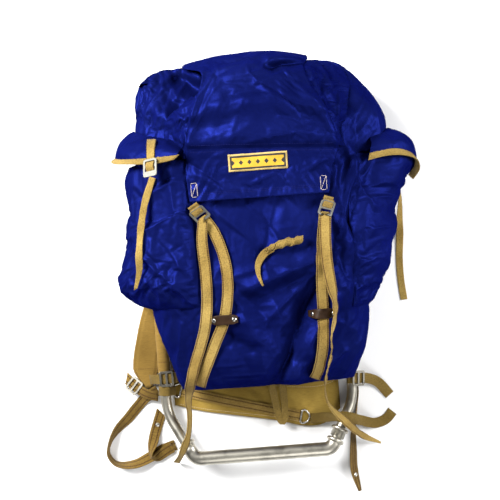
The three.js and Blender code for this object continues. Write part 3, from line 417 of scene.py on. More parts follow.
ALLOY = metal("worn_alloy", (0.46, 0.435, 0.37), 0.3, 0.46, 0.008)
CAST = metal("cast_alloy", (0.24, 0.235, 0.21), 0.6, 0.76, 0.02)
STEEL = metal("plated_steel", (0.56, 0.55, 0.51), 0.16, 0.36, 0.02)
AGED = metal("aged_steel", (0.24, 0.225, 0.19), 0.28, 0.5, 0.03)
LABEL = label("woven_label")
WHITE_THREAD = thread("pale_thread", (0.62, 0.52, 0.5))
BROWN_THREAD = thread("brown_thread", (0.14, 0.06, 0.025))
BLUE_THREAD = thread("blue_thread", (0.004, 0.008, 0.12))
TAN_THREAD = thread("tan_thread", (0.66, 0.5, 0.27))


# Swept solids
def loft(rings):
    """A closed skin over rings of points."""
    count, sides = rings.shape[:2]
    faces = grid_faces(count, sides, True)
    faces.append(list(range(sides)))
    faces.append([(count - 1) * sides + k for k in range(sides)])
    return rings.reshape(-1, 3), faces


def rings_round(points, run, radii, sides):
    """Rings about points, square to the run there, and carried along without twisting."""
    angles = np.linspace(0, 2 * math.pi, sides, endpoint=False)[:, None]
    side = UP if abs(run[0] @ UP) < 0.9 else np.array([1.0, 0.0, 0.0])
    rings = []
    for point, along, radius in zip(points, run, radii):
        side = unit(side - along * (side @ along))
        rings.append(point + radius * (np.cos(angles) * side + np.sin(angles) * np.cross(along, side)))
    return np.array(rings)


def tube_rings(path, radii, sides=24):
    run = unit(np.gradient(path, axis=0))
    return rings_round(path, run, np.broadcast_to(radii, len(path)), sides)


def bent_path(corners, bends, step=8.0, bend_points=14):
    """Points along straight runs with a round bend at each corner."""
    corners = [np.asarray(c, float) for c in corners]
    line = [corners[0]]
    for i, bend in enumerate(bends, 1):
        into = corners[i] + bend * unit(corners[i - 1] - corners[i])
        out = corners[i] + bend * unit(corners[i + 1] - corners[i])
        run = np.linspace(line[-1], into, max(2, int(np.linalg.norm(into - line[-1]) / step)))[1:]
        t = np.linspace(0, 1, bend_points)[1:, None]
        line.extend(run)
        line.extend((1 - t) ** 2 * into + 2 * t * (1 - t) * corners[i] + t**2 * out)
    line.extend(np.linspace(line[-1], corners[-1], 6)[1:])
    return np.array(line)


def join_parts(parts):
    """Points and faces of several parts as one mesh."""
    points, faces, start = [], [], 0
    for part_points, part_faces in parts:
        points.append(part_points)
        faces.extend([[start + k for k in face] for face in part_faces])
        start += len(part_points)
    return np.concatenate(points), faces


# The frame and its foot
SHIN_END = 0.86  # places along a shin, as shares of the way from the knee to the foot
LEFT_MOUTH = 0.66
RIGHT_MOUTH = 0.8
SLEEVE_TOP = 0.58
COLLAR_LENGTH = 7
SLEEVE_CLEAR = 3.1  # from the sleeve's end to the foot bar's right mouth
FOOT_SIDES = 28
WELD_RISE = 1.8
WELD_LENGTH = 4


def knee(side):
    return np.array([FRAME_MIDDLE + side * FRAME_HALF, KNEE_Y, FRAME_Z])


def foot(side):
    return np.array([FRAME_MIDDLE + side * FOOT_HALF, FOOT_Y, FRAME_Z + FOOT_RISE])


def on_shin(side, share):
    return knee(side) + share * (foot(side) - knee(side))


def make_tube(name, node, points, faces):
    """A piece of alloy tube, which straps can lie on."""
    obj = new_mesh(name, points, faces, ALLOY, solid=True)
    as_bed(node, dress(obj, "alloy", node))


def build_frame():
    top = [np.array([FRAME_MIDDLE + side * FRAME_HALF, FRAME_TOP, FRAME_Z]) for side in (-1, 1)]
    corners = [on_shin(-1, SHIN_END), knee(-1), *top, knee(1), on_shin(1, SHIN_END)]
    hoop = bent_path(corners, [KNEE_BEND, FRAME_BEND, FRAME_BEND, KNEE_BEND])
    parts = [loft(tube_rings(hoop, TUBE_RADIUS))]
    reach = FRAME_HALF - TUBE_RADIUS / 2
    xs = np.linspace(-reach, reach, 40)
    # a bead of weld swells each bar where it meets the uprights
    to_weld = np.abs(xs) - FRAME_HALF + TUBE_RADIUS
    radii = CROSSBAR_RADIUS + WELD_RISE * np.exp(-((to_weld / WELD_LENGTH) ** 2))
    for y in CROSSBAR_YS:
        bar = [(FRAME_MIDDLE + x, y, PAD_THICK + GAP + CROSSBAR_RADIUS) for x in xs]
        parts.append(loft(tube_rings(bar, radii)))
    make_tube("frame_tubes", "frame", *join_parts(parts))


def mouth_profile(start, inward, length):
    """Stations of a rolled mouth, from inside the socket over its round lip: place along and radius."""
    socket = TUBE_RADIUS + GAP
    lip = (COLLAR_RADIUS - socket) / 2
    angles = np.linspace(-0.5 * math.pi, math.pi, 15)
    middle = COLLAR_LENGTH / 2
    rolled = [(middle - middle * math.cos(a), socket + lip + lip * math.sin(a)) for a in angles]
    stations = [(length, socket), (0.6 * COLLAR_LENGTH, socket)] + rolled + [(COLLAR_LENGTH, FOOT_RADIUS)]
    return [(start + inward * along, radius) for along, radius in stations]


def build_foot():
    corners = [on_shin(-1, LEFT_MOUTH), foot(-1), foot(1), on_shin(1, RIGHT_MOUTH)]
    bar = bent_path(corners, [FOOT_BEND, FOOT_BEND], bend_points=18)
    left_in, right_in = unit(bar[1] - bar[0]), unit(bar[-2] - bar[-1])
    left = mouth_profile(bar[0], left_in, 20)
    right = mouth_profile(bar[-1], right_in, 8)[::-1]
    to_mouth = np.minimum(np.linalg.norm(bar - bar[0], axis=1), np.linalg.norm(bar - bar[-1], axis=1))
    body = [(point, FOOT_RADIUS) for point in bar[to_mouth > COLLAR_LENGTH + 1]]
    points, radii = zip(*left, *body, *right)
    run = unit(np.gradient(points, axis=0))
    run[: len(left)] = left_in
    run[-len(right) :] = -right_in
    make_tube("foot_tube", "foot_bar", *loft(rings_round(points, run, radii, FOOT_SIDES)))
    along = unit(foot(1) - knee(1))
    low = on_shin(1, RIGHT_MOUTH) - SLEEVE_CLEAR * along
    inside = TUBE_RADIUS + GAP
    sleeve = mouth_profile(on_shin(1, SLEEVE_TOP), along, 12) + [(low, FOOT_RADIUS), (low, inside)]
    points, radii = zip(*sleeve)
    rings = rings_round(points, [along] * len(points), radii, FOOT_SIDES)
    make_tube("foot_collar_sleeve", "foot_sleeve", *loft(rings))


# The sack: left and right are the widest points of each section, at the height called wide.
# Columns: y, left, right, back, wide, front
SACK = [
    (-240, -138, 170, 36, 60, 96),
    (-222, -145, 177, SACK_BACK, 60, 121),
    (-185, -156, 189, SACK_BACK, 62, 144),
    (-135, -171, 201, SACK_BACK, 64, 157),
    (-80, -184, 208, SACK_BACK, 66, 165),
    (0, -190, 212, SACK_BACK, 68, 170),
    (80, -192, 216, SACK_BACK, 70, 171),
    (150, -191, 234, SACK_BACK, 72, 168),
    (205, -188, 258, SACK_BACK, 72, 161),
    (250, -187, 240, SACK_BACK, 72, 151),
    (288, -186, 212, FRAME_FRONT + GAP, 70, 138),
    (309, -178, 195, 34, 68, 125),
    (320, -163, 178, 42, 69, 110),
    (326, -140, 154, 52, 71, 100),
]
SACK_FOOT = SACK[0][0]
SACK_MOUTH = SACK[-1][0]
FRONT_SQUARENESS = 2.5
BACK_SQUARENESS = 8.0
SACK_HELD = 45  # the cloth lower than this keeps still while it settles
GATHERS = 22
GATHER_DEPTH = 4
GATHER_Y = 268  # where the gathers begin, and how far they take to deepen
GATHER_LENGTH = 45

# Crumpled facets of the cloth. Columns: spacing, rise, seed
BROAD_FACETS = (52, 7.5, 5)
FINE_FACETS = (20, 3.6, 6)
POCKET_FACETS = (38, 7.0, 7)
LID_FACETS = (54, 7.5, 8)
LID_SIDE_FACETS = (18, 3.5, 9)

# Seeds of the wrinkles
SACK_SEED = 3.1
POCKET_SEED = 11.7
LID_SEED = 23.9
LID_SIDE_SEED = 41.3

# Folds of the front seen from above. Columns: x0, y0, x1, y1, width, rise, and 1 for a crisp crest
FOLDS = [
    (28, -236, 108, -70, 14, -20, 0),  # the long diagonal from the foot to the right strap
    (62, -236, 128, -95, 13, 12, 0),
    (-102, 303, -66, 276, 16, -24, 0),  # the hollow beside the lid's left corner
    (70, -190, 96, -225, 15, -11, 0),
    (46, 70, 22, -6, 12, -9, 0),  # below the lid, down to the knot
    (0, -62, 110, -20, 16, 6, 0),  # across under the knot
    (-28, -96, 92, -58, 15, -5, 0),
    (-40, -150, -8, -168, 13, -10, 0),  # the dimple beside the left strap
    (-130, -110, -118, -225, 17, -6, 0),
    (170, 40, 205, 150, 15, -6, 0),  # down the right side
    (158, -60, 176, -190, 17, 6, 0),
    (-170, 215, -120, 285, 16, -8, 0),  # the slack shoulders at the top
    (-140, 250, -96, 200, 14, 8, 0),
    (176, 255, 150, 190, 15, -8, 0),
    (140, 280, 160, 225, 13, 6, 0),
    (-34, -72, 104, -26, 9, 4, 1),  # crisp ridges that fan out from the right strap
    (-36, -44, 108, -10, 8, 3, 1),
    (20, -120, 112, -42, 9, 7, 1),
    (46, -150, 112, -66, 9, -7, 1),
    (44, -234, 92, -130, 8, 9, 1),
    (84, -232, 150, -186, 9, 8, 1),
    (150, -232, 186, -150, 9, 4, 1),
    (24, 62, 52, 8, 8, 3, 1),
    (-34, -140, -52, -196, 8, 4, 1),
    (-30, -166, 12, -150, 8, 4, 1),
    (-128, -120, -146, -226, 9, 4, 1),
    (-104, -96, -112, -180, 9, -4, 1),
    (152, 96, 176, -30, 9, 7, 1),  # long folds beside the right pocket
    (140, 70, 156, -60, 9, -8, 1),
    (178, 150, 196, 60, 9, 7, 1),
    (172, 146, 134, -20, 12, -9, 0),  # from the right flap down to the right strap
    (190, 150, 148, -10, 10, 8, 1),
    (154, 130, 136, 40, 9, 7, 1),
]


def fold_rise(x, y, folds):
    """The rise of all the folds at some places."""
    rise = np.zeros_like(x)
    for x0, y0, x1, y1, width, lift, crisp in folds:
        dx, dy = x1 - x0, y1 - y0
        along = np.clip(((x - x0) * dx + (y - y0) * dy) / (dx * dx + dy * dy), 0, 1)
        off = np.hypot(x - x0 - along * dx, y - y0 - along * dy) / width
        rise += lift * np.exp(-(off**1.25 if crisp else off**2))
    return rise


def sack_point(angle, y, lift=0.0, shrink=1.0, wrinkled=False):
    """Points of the sack. The angle turns from the right side (0) over the front to the left (pi)."""
    angle, y = np.broadcast_arrays(np.asarray(angle, float), np.asarray(y, float))
    _, left, right, back, wide, front = np.moveaxis(smooth(SACK, y), -1, 0)
    across = np.cos(angle)
    is_front = np.sin(angle) > 0
    power = np.where(is_front, FRONT_SQUARENESS, BACK_SQUARENESS)
    half = (right - left) / 2
    rise = np.where(is_front, front, back) - wide
    level = np.maximum(0, 1 - np.abs(across) ** power) ** (1 / power)
    x = (right + left) / 2 + shrink * half * across
    z = wide + shrink * rise * level
    sideways = np.sign(across) * np.abs(across) ** (power - 1) / half
    normal = np.stack([sideways, 0 * x, level ** (power - 1) / rise], -1)
    gather = GATHER_DEPTH * np.cos(GATHERS * angle) * ease((y - GATHER_Y) / GATHER_LENGTH)
    folds = fold_rise(x, y, FOLDS) + gather
    if wrinkled:
        folds = folds + wrinkle_rise(x, y, SACK_WRINKLES, SACK_SEED) + facet_rise(x, y, *BROAD_FACETS)
        folds = folds + facet_rise(x, y, *FINE_FACETS) * crumples(x, y, SACK_SLACK)
    dent = np.where(is_front, folds * ease(2.2 * level), 0)
    return np.stack([x, y, z], -1) + unit(normal) * (lift + dent * shrink)[..., None]


# Wrinkles of slack cloth. Each row fills a round spot with folds that run one way and have sharp crests.
# Columns: x, y, radius, direction in degrees, length of a fold, spacing, rise
SACK_WRINKLES = [
    (-150, 262, 60, 70, 60, 22, 5.0),  # the crumpled left shoulder
    (-120, 296, 50, 100, 50, 20, 4.0),
    (-160, 205, 45, 20, 50, 18, 3.5),
    (-115, 225, 45, 60, 60, 18, 3.5),
    (150, 280, 60, 80, 90, 26, 4.0),  # the right shoulder
    (190, 215, 60, 55, 110, 26, 4.0),
    (165, 130, 70, 62, 150, 26, 4.0),  # the long folds from the right flap to the right strap
    (150, 20, 60, 75, 150, 26, 3.5),
    (70, -40, 70, 18, 140, 30, 3.0),  # the fan at the right strap
    (70, -110, 70, 45, 140, 30, 3.0),
    (60, -190, 70, 62, 130, 26, 4.0),
    (-20, -120, 60, 10, 120, 30, 2.0),
    (-20, 20, 70, 80, 140, 40, 1.5),
    (-110, -170, 60, 75, 110, 26, 3.5),
    (150, -150, 60, 70, 130, 26, 3.5),
    (20, -228, 120, 0, 120, 20, 2.5),
]


WRINKLE_SETS = ((1, 1.4), (2.2, 0.6))  # how much finer each set is, and its share of the rise


def wrinkle_rise(x, y, fields, seed):
    """The rise of all the wrinkles at some places. The seed sets where each fold lies in its spot."""
    rise = np.zeros_like(x)
    for number, (at_x, at_y, radius, degrees, length, spacing, lift) in enumerate(fields):
        off_x, off_y = x - at_x, y - at_y
        share = np.exp(-((off_x**2 + off_y**2) / radius**2))
        near = share > 0.02
        turn = math.radians(degrees)
        along = (off_x * math.cos(turn) + off_y * math.sin(turn))[near] / length
        across = (off_y * math.cos(turn) - off_x * math.sin(turn))[near] / spacing
        for finer, part in WRINKLE_SETS:
            depth = np.full(along.shape, seed + 7.3 * number + 90 * (finer - 1))
            places = np.stack([finer * along, finer * across, depth], -1)
            waves = np.array([noise.noise(place) for place in places])
            other = np.array([noise.noise(place * 0.6 + Vector((40, 0, 0))) for place in map(Vector, places)])
            crest = (1 - np.minimum(1, 2.4 * np.abs(waves))) ** 1.4 - 0.3
            rise[near] += part * lift * share[near] * crest * np.tanh(3 * other + 0.6)
    return rise


CRUMPLE_GRID = 460  # the corners of crumpled facets fill a square of twice this side


def facet_rise(x, y, spacing, lift, seed):
    """Crumpled cloth: flat facets between random heights on an uneven grid of corners."""
    random = np.random.default_rng(seed)
    turn = np.exp(1j * (0.6 + 0.9 * seed))
    turned = (x + 1j * y) * turn
    line = np.arange(-CRUMPLE_GRID, CRUMPLE_GRID, spacing)
    corners = np.stack([*np.meshgrid(line, line), np.zeros((len(line), len(line)))], -1)
    corners[..., :2] += spacing * random.uniform(-0.45, 0.45, corners[..., :2].shape)
    corners[..., 2] = lift * random.uniform(-1, 1, corners.shape[:2])
    quads = grid_faces(len(line), len(line))
    halves = [half for a, b, c, d in quads for half in ((a, b, c), (a, c, d))]
    facets = BVHTree.FromPolygons(corners.reshape(-1, 3).tolist(), halves)
    spots = [Vector((spot.real, spot.imag, 900)) for spot in turned.ravel()]
    hits = [facets.ray_cast(spot, Vector((0, 0, -1)))[0] for spot in spots]
    return np.array([hit.z if hit else 0.0 for hit in hits]).reshape(x.shape)


# Cloth
def settle(points, faces, hold, growth, most, frames=18, bending=0.15):
    """Points of a cloth after it has settled. It grows by a share that the growth weights set, up to most,
    keeps still where it is held, and wrinkles in between."""
    obj = new_mesh("settling", points, faces, BLUE)
    for name, weights in (("hold", hold), ("firm", 1 - growth)):
        group = obj.vertex_groups.new(name=name)
        stepped = np.round(np.clip(weights, 0, 1), 2).ravel()
        for weight in np.unique(stepped):
            group.add(np.nonzero(stepped == weight)[0].tolist(), float(weight), "REPLACE")
    cloth = obj.modifiers.new("cloth", "CLOTH")
    settings = cloth.settings
    settings.vertex_group_mass = "hold"
    settings.vertex_group_shrink = "firm"
    settings.shrink_max = 0
    settings.shrink_min = -most
    settings.quality = 4
    settings.mass = 0.02
    settings.tension_stiffness = settings.compression_stiffness = 20
    settings.shear_stiffness = 5
    settings.bending_stiffness = bending
    settings.effector_weights.gravity = 0
    cloth.point_cache.frame_end = frames
    scene = bpy.context.scene
    for number in range(1, frames + 1):
        scene.frame_set(number)
    settled, _ = final_points(obj)
    scene.frame_set(1)
    bpy.data.objects.remove(obj)
    return settled


def crumples(x, y, spots):
    """How slack the cloth is: the largest of some round spots. Columns: x, y, radius, strength"""
    slack = np.zeros_like(x)
    for spot_x, spot_y, radius, strength in spots:
        slack = np.maximum(slack, strength * np.exp(-((np.hypot(x - spot_x, y - spot_y) / radius) ** 2)))
    return slack


SACK_SLACK = [
    (-150, 255, 75, 1.0), (-110, 300, 50, 0.9), (150, 265, 60, 0.8), (190, 200, 50, 0.5),
    (-60, -60, 60, 0.2), (60, -100, 120, 0.3), (150, -40, 60, 0.5), (-100, -90, 40, 0.5),
    (60, -210, 50, 0.4), (-130, 160, 60, 0.6),
]


def settled_grid(grid, hold, growth, most):
    """A grid of cloth after it has settled."""
    faces = grid_faces(*grid.shape[:2])
    return settle(grid.reshape(-1, 3), faces, hold, growth, most).reshape(grid.shape)


def make_cloth(name, bed, grid, turned=False, replaced=True, rounded=True):
    """A piece of nylon from a grid of cloth, with its wall on the inside. Straps can lie on it."""
    faces = grid_faces(*grid.shape[:2])
    if turned:
        faces = [face[::-1] for face in faces]
    obj = new_mesh(name, grid.reshape(-1, 3), faces, BLUE)
    dress(obj, "nylon", *([bed] if replaced else []))
    wall = obj.modifiers.new("wall", "SOLIDIFY")
    wall.thickness = CLOTH / 1000
    wall.offset = -1
    if rounded:
        obj.modifiers.new("round", "SUBSURF").levels = 1
        obj.modifiers["round"].render_levels = 1
    return as_bed(bed, obj)


def sack_angles():
    """Angles round the sack: fine over the front and its sides, coarse over the flat back."""
    dense = np.radians(np.linspace(-6, 186, 4000))
    fine = np.interp(even_places(sack_point(dense, -40.0), MESH_STEP), np.arange(4000), dense)
    return np.concatenate([fine, np.radians(np.linspace(186, 354, 24)[1:-1])]), len(fine)


def build_sack():
    angles, front_count = sack_angles()
    dense = np.linspace(SACK_FOOT, SACK_MOUTH, 2000)
    profile = smooth(SACK, dense)[:, [0, 5]]
    ys = np.interp(even_places(profile, MESH_STEP), np.arange(2000), dense)
    body = sack_point(angles[None, :], ys[:, None], wrinkled=True)
    ends = []
    for shrink in (0.05, 0.4, 0.7, 0.88, 0.97):
        ring = sack_point(angles, np.full(len(angles), SACK_FOOT), 0.0, shrink)
        ring[:, 1] -= 4 * (1 - shrink * shrink)
        ends.append(ring)
    hem = []
    for inward, drop in ((2, 0), (4, 6), (4, 20)):
        hem.append(sack_point(angles, np.full(len(angles), SACK_MOUTH - drop), -inward))
    grid = np.concatenate([ends, body, hem])
    rows, columns = grid.shape[:2]
    faces = grid_faces(rows, columns, True) + [list(range(columns))]
    heights = np.concatenate([np.full(len(ends), SACK_FOOT), ys, np.full(len(hem), SACK_MOUTH)])
    hold = np.zeros((rows, columns))
    hold[:, front_count:] = 1
    hold[: len(ends) + 2] = 1
    hold[-len(hem) - 1 :] = 1
    hold[grid[..., 2] < SACK_HELD] = 1
    hold[under_pockets(angles, heights)] = 1
    growth = np.maximum(0.14, crumples(grid[..., 0], grid[..., 1], SACK_SLACK))
    points = settle(grid.reshape(-1, 3), faces, hold, growth, 0.07)
    obj = new_mesh("sack_cloth", points, faces, BLUE, solid=True)
    as_bed("sack", dress(obj, "nylon", "sack"))


# Side pockets stand off the sack between two angles, in degrees. Columns: y, front lift, side lift
POCKETS = {
    "left": {
        "angles": (120, 200), "front": 142, "side": 176, "squareness": 6, "steep": 0.7,
        "rows": [(-92, 0, 0), (-82, 12, 22), (-68, 22, 43), (-52, 27, 49), (-8, 30, 34), (32, 29, 21),
                 (85, 26, 15), (125, 22, 13), (160, 18, 12)],
    },
    "right": {
        "angles": (37.5, -10), "front": 27, "side": 4, "squareness": 2.2, "steep": 1.0,
        "rows": [(-110, 0, 0), (-98, 8, 8), (-66, 15, 15), (-11, 20, 27), (31, 23, 38), (70, 25, 49),
                 (100, 22, 60), (132, 13, 65), (152, 5, 60)],
    },
}
SEAM_LIFT = 0.8
POCKET_LOW = 4  # a pocket clears the floor by this much
# As on the sack, but x is measured out along the pocket's round side
POCKET_WRINKLES = {
    "left": [(-90, 120, 60, 85, 120, 26, 3.5), (-90, 20, 80, 80, 160, 30, 3.5),
             (-110, -60, 60, 40, 70, 24, 5.0), (-60, -30, 50, 120, 80, 24, 4.0)],
    "right": [(250, 110, 60, 70, 140, 26, 4.0), (250, 20, 70, 75, 150, 28, 4.0),
              (240, -60, 60, 60, 90, 24, 4.0)],
}


def pocket_lift(pocket, angle, y):
    row = smooth(pocket["rows"], y)
    first, last = pocket["angles"]
    u = np.clip((angle - first) / (last - first), 0, 1)
    share = ease((angle - pocket["front"]) / (pocket["side"] - pocket["front"]))
    lift = np.maximum(0, row[..., 1] + (row[..., 2] - row[..., 1]) * share)
    sewn = np.where(u < 0.5, 1 - np.abs(2 * u - 1) ** pocket["squareness"], 1 - (2 * u - 1) ** 8)
    return lift * sewn ** pocket["steep"]


def under_pockets(angles, ys):
    """Where the sack's own wall lies hidden under a pocket."""
    hidden = np.zeros((len(ys), len(angles)), bool)
    degrees = np.degrees(angles)
    degrees = np.where(degrees > 270, degrees - 360, degrees)
    for pocket in POCKETS.values():
        low, high = sorted(pocket["angles"])
        foot_y, mouth_y = pocket["rows"][0][0], pocket["rows"][-1][0]
        beside = (degrees > low - 2) & (degrees < high + 2)
        along = (ys > foot_y - 6) & (ys < mouth_y + 20)
        hidden |= along[:, None] & beside[None, :]
    return hidden


def build_pocket(side):
    pocket = POCKETS[side]
    first, last = pocket["angles"]
    foot_y, mouth_y = pocket["rows"][0][0], pocket["rows"][-1][0]
    columns = 60 if side == "left" else 46
    rows = round((mouth_y - foot_y) / MESH_STEP)
    degrees = np.linspace(first, last, columns)[None, :]
    ys = np.linspace(foot_y, mouth_y, rows)[:, None]
    degrees, ys = np.broadcast_arrays(degrees, ys)
    flat = sack_point(np.radians(degrees), ys)
    out = flat[..., 0] + 0.6 * flat[..., 2]
    wrinkles = wrinkle_rise(out, ys, POCKET_WRINKLES[side], POCKET_SEED) + facet_rise(out, ys, *POCKET_FACETS)
    lift = pocket_lift(pocket, degrees, ys)
    grid = sack_point(np.radians(degrees), ys, SEAM_LIFT + lift + wrinkles * np.minimum(1, lift / 12))
    hold = np.zeros((rows, columns))
    hold[:2] = hold[:, :2] = hold[:, -2:] = 1
    hold[-1] = 0.7
    growth = np.full((rows, columns), 0.75)
    growth[: rows // 3] = 1
    cloth = settled_grid(grid, hold, growth, 0.07)
    cloth[..., 2] = np.maximum(cloth[..., 2], POCKET_LOW)
    make_cloth(f"pocket_cloth_{side}", f"pocket_{side}", cloth, side == "left")


# Pocket flaps, sewn along the root and standing off at the edge. Columns: angle, root, edge, lift
FLAPS = {
    "left": [(125, 186, 160, 31), (136, 198, 158, 31), (150, 208, 159, 31), (165, 218, 164, 31),
             (180, 226, 174, 30), (192, 222, 184, 27)],
    "right": [(30, 176, 142, 16), (20, 186, 148, 40), (10, 195, 136, 62), (3, 197, 116, 72),
              (-3, 194, 100, 72)],
}
FLAP_SEAM = 1.4
FLAP_LIFT = 3.2
FLAP_RISE = 2.4  # how fast a flap stands off the sack below its seam
BINDING_WIDTH = 11
FLARE = 0.85  # how far the tape turns from the flap's own slope to level
POCKET_STRAP_X = -152.5
FLAP_CLOTH = 0.84  # the share of the flap that is above its binding


def flap_point(side, u, v):
    """Points of a flap, from 0 to 1 across it (u) and from its root down to its edge (v)."""
    rows = FLAPS[side]
    angle = rows[0][0] + (rows[-1][0] - rows[0][0]) * u
    _, root, edge, lift = np.moveaxis(smooth(rows, angle), -1, 0)
    y = root + (edge - root) * v
    rise = FLAP_LIFT * ease(3 * v) + lift * (1 - (1 - v) ** FLAP_RISE)
    return sack_point(np.radians(angle), y, FLAP_SEAM + CLOTH + rise)


def build_flap(side):
    u, v = np.meshgrid(np.linspace(0, 1, 40), np.linspace(0, FLAP_CLOTH, 18))
    grid = flap_point(side, u, v)
    hold = np.zeros(u.shape)
    hold[:2] = 1
    hold[-2:] = 0.8
    cloth = settled_grid(grid, hold, np.full(u.shape, 0.5), 0.06)
    obj = make_cloth(f"flap_cloth_{side}", f"flap_{side}", cloth, side == "left")
    build_binding(side, cloth)


def evened(line, rounds=6):
    """A line of points with its small waves taken out."""
    line = line.copy()
    for _ in range(rounds):
        line[1:-1] = (line[:-2] + 2 * line[1:-1] + line[2:]) / 4
    return line


def build_binding(side, cloth):
    """Tape folded over the flap's edge, which flares out from the pocket."""
    edge = evened(cloth[-1])
    along = unit(np.gradient(edge, axis=0))
    drop = unit(edge - evened(cloth[-6]))
    out = unit(np.cross(along, drop)) * (1 if side == "left" else -1)
    level = unit((drop + out) * (1, 1, 0))
    # the pocket strap holds the left one down
    flare = FLARE * (1 - np.exp(-(((edge[:, :1] - POCKET_STRAP_X) / 20) ** 2)))
    flared = evened(unit(drop * (1 - flare) + level * flare))
    face = unit(np.cross(along, flared))
    width = BINDING_WIDTH
    half = [(-1.8, 0.5), (-1.5, 1.1), (0.5 * width, 1.2), (width - 0.6, 1.0), (width, 0.4)]
    profile = half + [(a, -b) for a, b in half[::-1]]
    rings = np.stack([edge + flared * a + face * b for a, b in profile], 1)
    points, faces = loft(rings)
    run = distances(edge) / 10
    widths = np.array([a for a, _ in profile]) / 10 - width / 20
    uv = np.stack(np.broadcast_arrays(widths[None, :], run[:, None]), -1).reshape(-1, 2)
    obj = new_mesh(f"binding_tape_{side}", points, faces, PLAIN_TAN, uv, solid=True)
    as_bed(f"binding_{side}", dress(obj, "webbing", f"binding_{side}"))


# The lid. Columns: step, y, z, left, right, droop of its two edges, and bow of its edges to the foot
LID = [
    (0, 304, 30.4, -78, 116, 0, 0),
    (1, 332, 40, -82, 122, 0, 2),
    (2, 339, 92, -88, 124, 2, 6),
    (3, 333, 146, -92, 123, 24, 12),
    (4, 309, 184, -60, 112, 16, 8),
    (5, 270, 206, -64, 118, 18, 3),
    (6, 224, 212, -82, 141, 22, 0),
    (7, 193, 204, -90, 155, 22, 0),
    (8, 173, 187, -93, 159, 12, 0),
    (9, 141, 185, -97, 150, 10, 0),
    (10, 109, 181, -96, 143, 8, 0),
    (11, 86, 178, -94, 139, 5, 0),
]
LID_SEAM = 8
SEAM_SKEW = 13  # the seam drops this much from left to right
LID_CLEAR = 4.4
LID_BEDS = ("sack", "pocket_left", "flap_left", "binding_left")
LID_SLACK = [
    (-70, 110, 50, 0.9), (140, 115, 50, 0.9), (30, 100, 60, 0.7), (40, 290, 70, 0.5), (100, 200, 60, 0.4),
]
# Folds and wrinkles of the lid's top panel, as on the sack
LID_FOLDS = [
    (-84, 238, 130, 236, 18, 5, 0),
    (-80, 206, 120, 214, 16, -7, 0),
    (-86, 176, 150, 172, 14, 5, 0),
    (78, 292, 136, 221, 9, 8, 1),
    (136, 221, 153, 165, 9, 8, 1),
    (-56, 302, -78, 224, 9, 8, 1),
    (-78, 224, -90, 172, 9, 8, 1),
    (64, 214, 96, 204, 7, -4, 1),
    (-90, 318, 60, 312, 9, -6, 0),
    (56, 314, 122, 328, 10, 14, 0),
    (60, 298, 114, 310, 10, -19, 0),
    (20, 290, 60, 240, 10, 4, 1),
    (-30, 286, -10, 236, 12, -4, 0),
    (-78, 130, -40, 108, 9, 4, 1),
    (130, 140, 90, 112, 9, 4, 1),
    (-20, 104, 70, 100, 9, -3, 0),
]
LID_WRINKLES = [
    (20, 300, 70, 8, 120, 26, 2.5),
    (100, 250, 60, 130, 120, 26, 3.0),
    (-50, 240, 50, 62, 110, 24, 2.5),
    (30, 215, 80, 4, 150, 28, 2.5),
    (30, 168, 90, 0, 160, 22, 2.0),
    (-70, 115, 45, 60, 60, 16, 3.0),
    (140, 115, 45, 115, 60, 16, 3.0),
    (30, 102, 80, 90, 40, 16, 1.6),
    (30, 135, 100, 15, 60, 16, 1.5),
]


def lid_grid():
    dense = np.linspace(0, 11, 3000)
    line = smooth(LID, dense)[:, [1, 2]]
    steps = np.interp(even_places(line, MESH_STEP), np.arange(3000), dense)
    u = np.linspace(0, 1, 80)[None, :]
    row = smooth(LID, steps)[:, None, :]
    x = row[..., 3] + (row[..., 4] - row[..., 3]) * u
    side = np.abs(2 * u - 1)
    near_seam = np.exp(-(((steps - LID_SEAM) / 1.2) ** 2))[:, None]
    y = row[..., 1] - row[..., 6] * side**2 - SEAM_SKEW * u * near_seam
    wrinkles = wrinkle_rise(x, y, LID_WRINKLES, LID_SEED) + facet_rise(x, y, *LID_FACETS)
    folds = fold_rise(x, y, LID_FOLDS) + wrinkles
    seam = np.exp(-(((steps - LID_SEAM) / 0.2) ** 2))[:, None]
    z = row[..., 2] - row[..., 5] * side**2.4 + folds * ease((steps[:, None] - 2.6) / 1.5) - 5 * seam
    return np.stack([x, y, z], -1), steps


def rest_on(points, beds, clear):
    """Points pushed up where they would lie lower than some beds."""
    for point in points:
        point[2] = max(point[2], height(beds, point[0], point[1]) + clear)
    return points


def build_lid():
    grid, steps = lid_grid()
    rows, columns = grid.shape[:2]
    front = np.nonzero(steps > 3.4)[0][0]
    rest_on(grid[front:].reshape(-1, 3), LID_BEDS, LID_CLEAR)
    hold = np.zeros((rows, columns))
    hold[:3] = 1
    hold[-3:] = 0.8
    hold[np.abs(steps - LID_SEAM) < 0.12] = 0.9
    hold[:, :1] = hold[:, -1:] = 0.5
    slack = crumples(grid[..., 0], grid[..., 1], LID_SLACK)
    growth = np.maximum(np.where(steps > 8.2, 0.5, 0.2)[:, None], slack)
    cloth = settled_grid(grid, hold, growth, 0.06)
    rest_on(cloth[front:].reshape(-1, 3), LID_BEDS, LID_CLEAR)
    obj = make_cloth("lid_cloth", "lid", cloth, rounded=False)
    for side, edge in (("left", cloth[:, 1]), ("right", cloth[:, -2])):
        build_lid_side(side, edge[steps > 3.2])


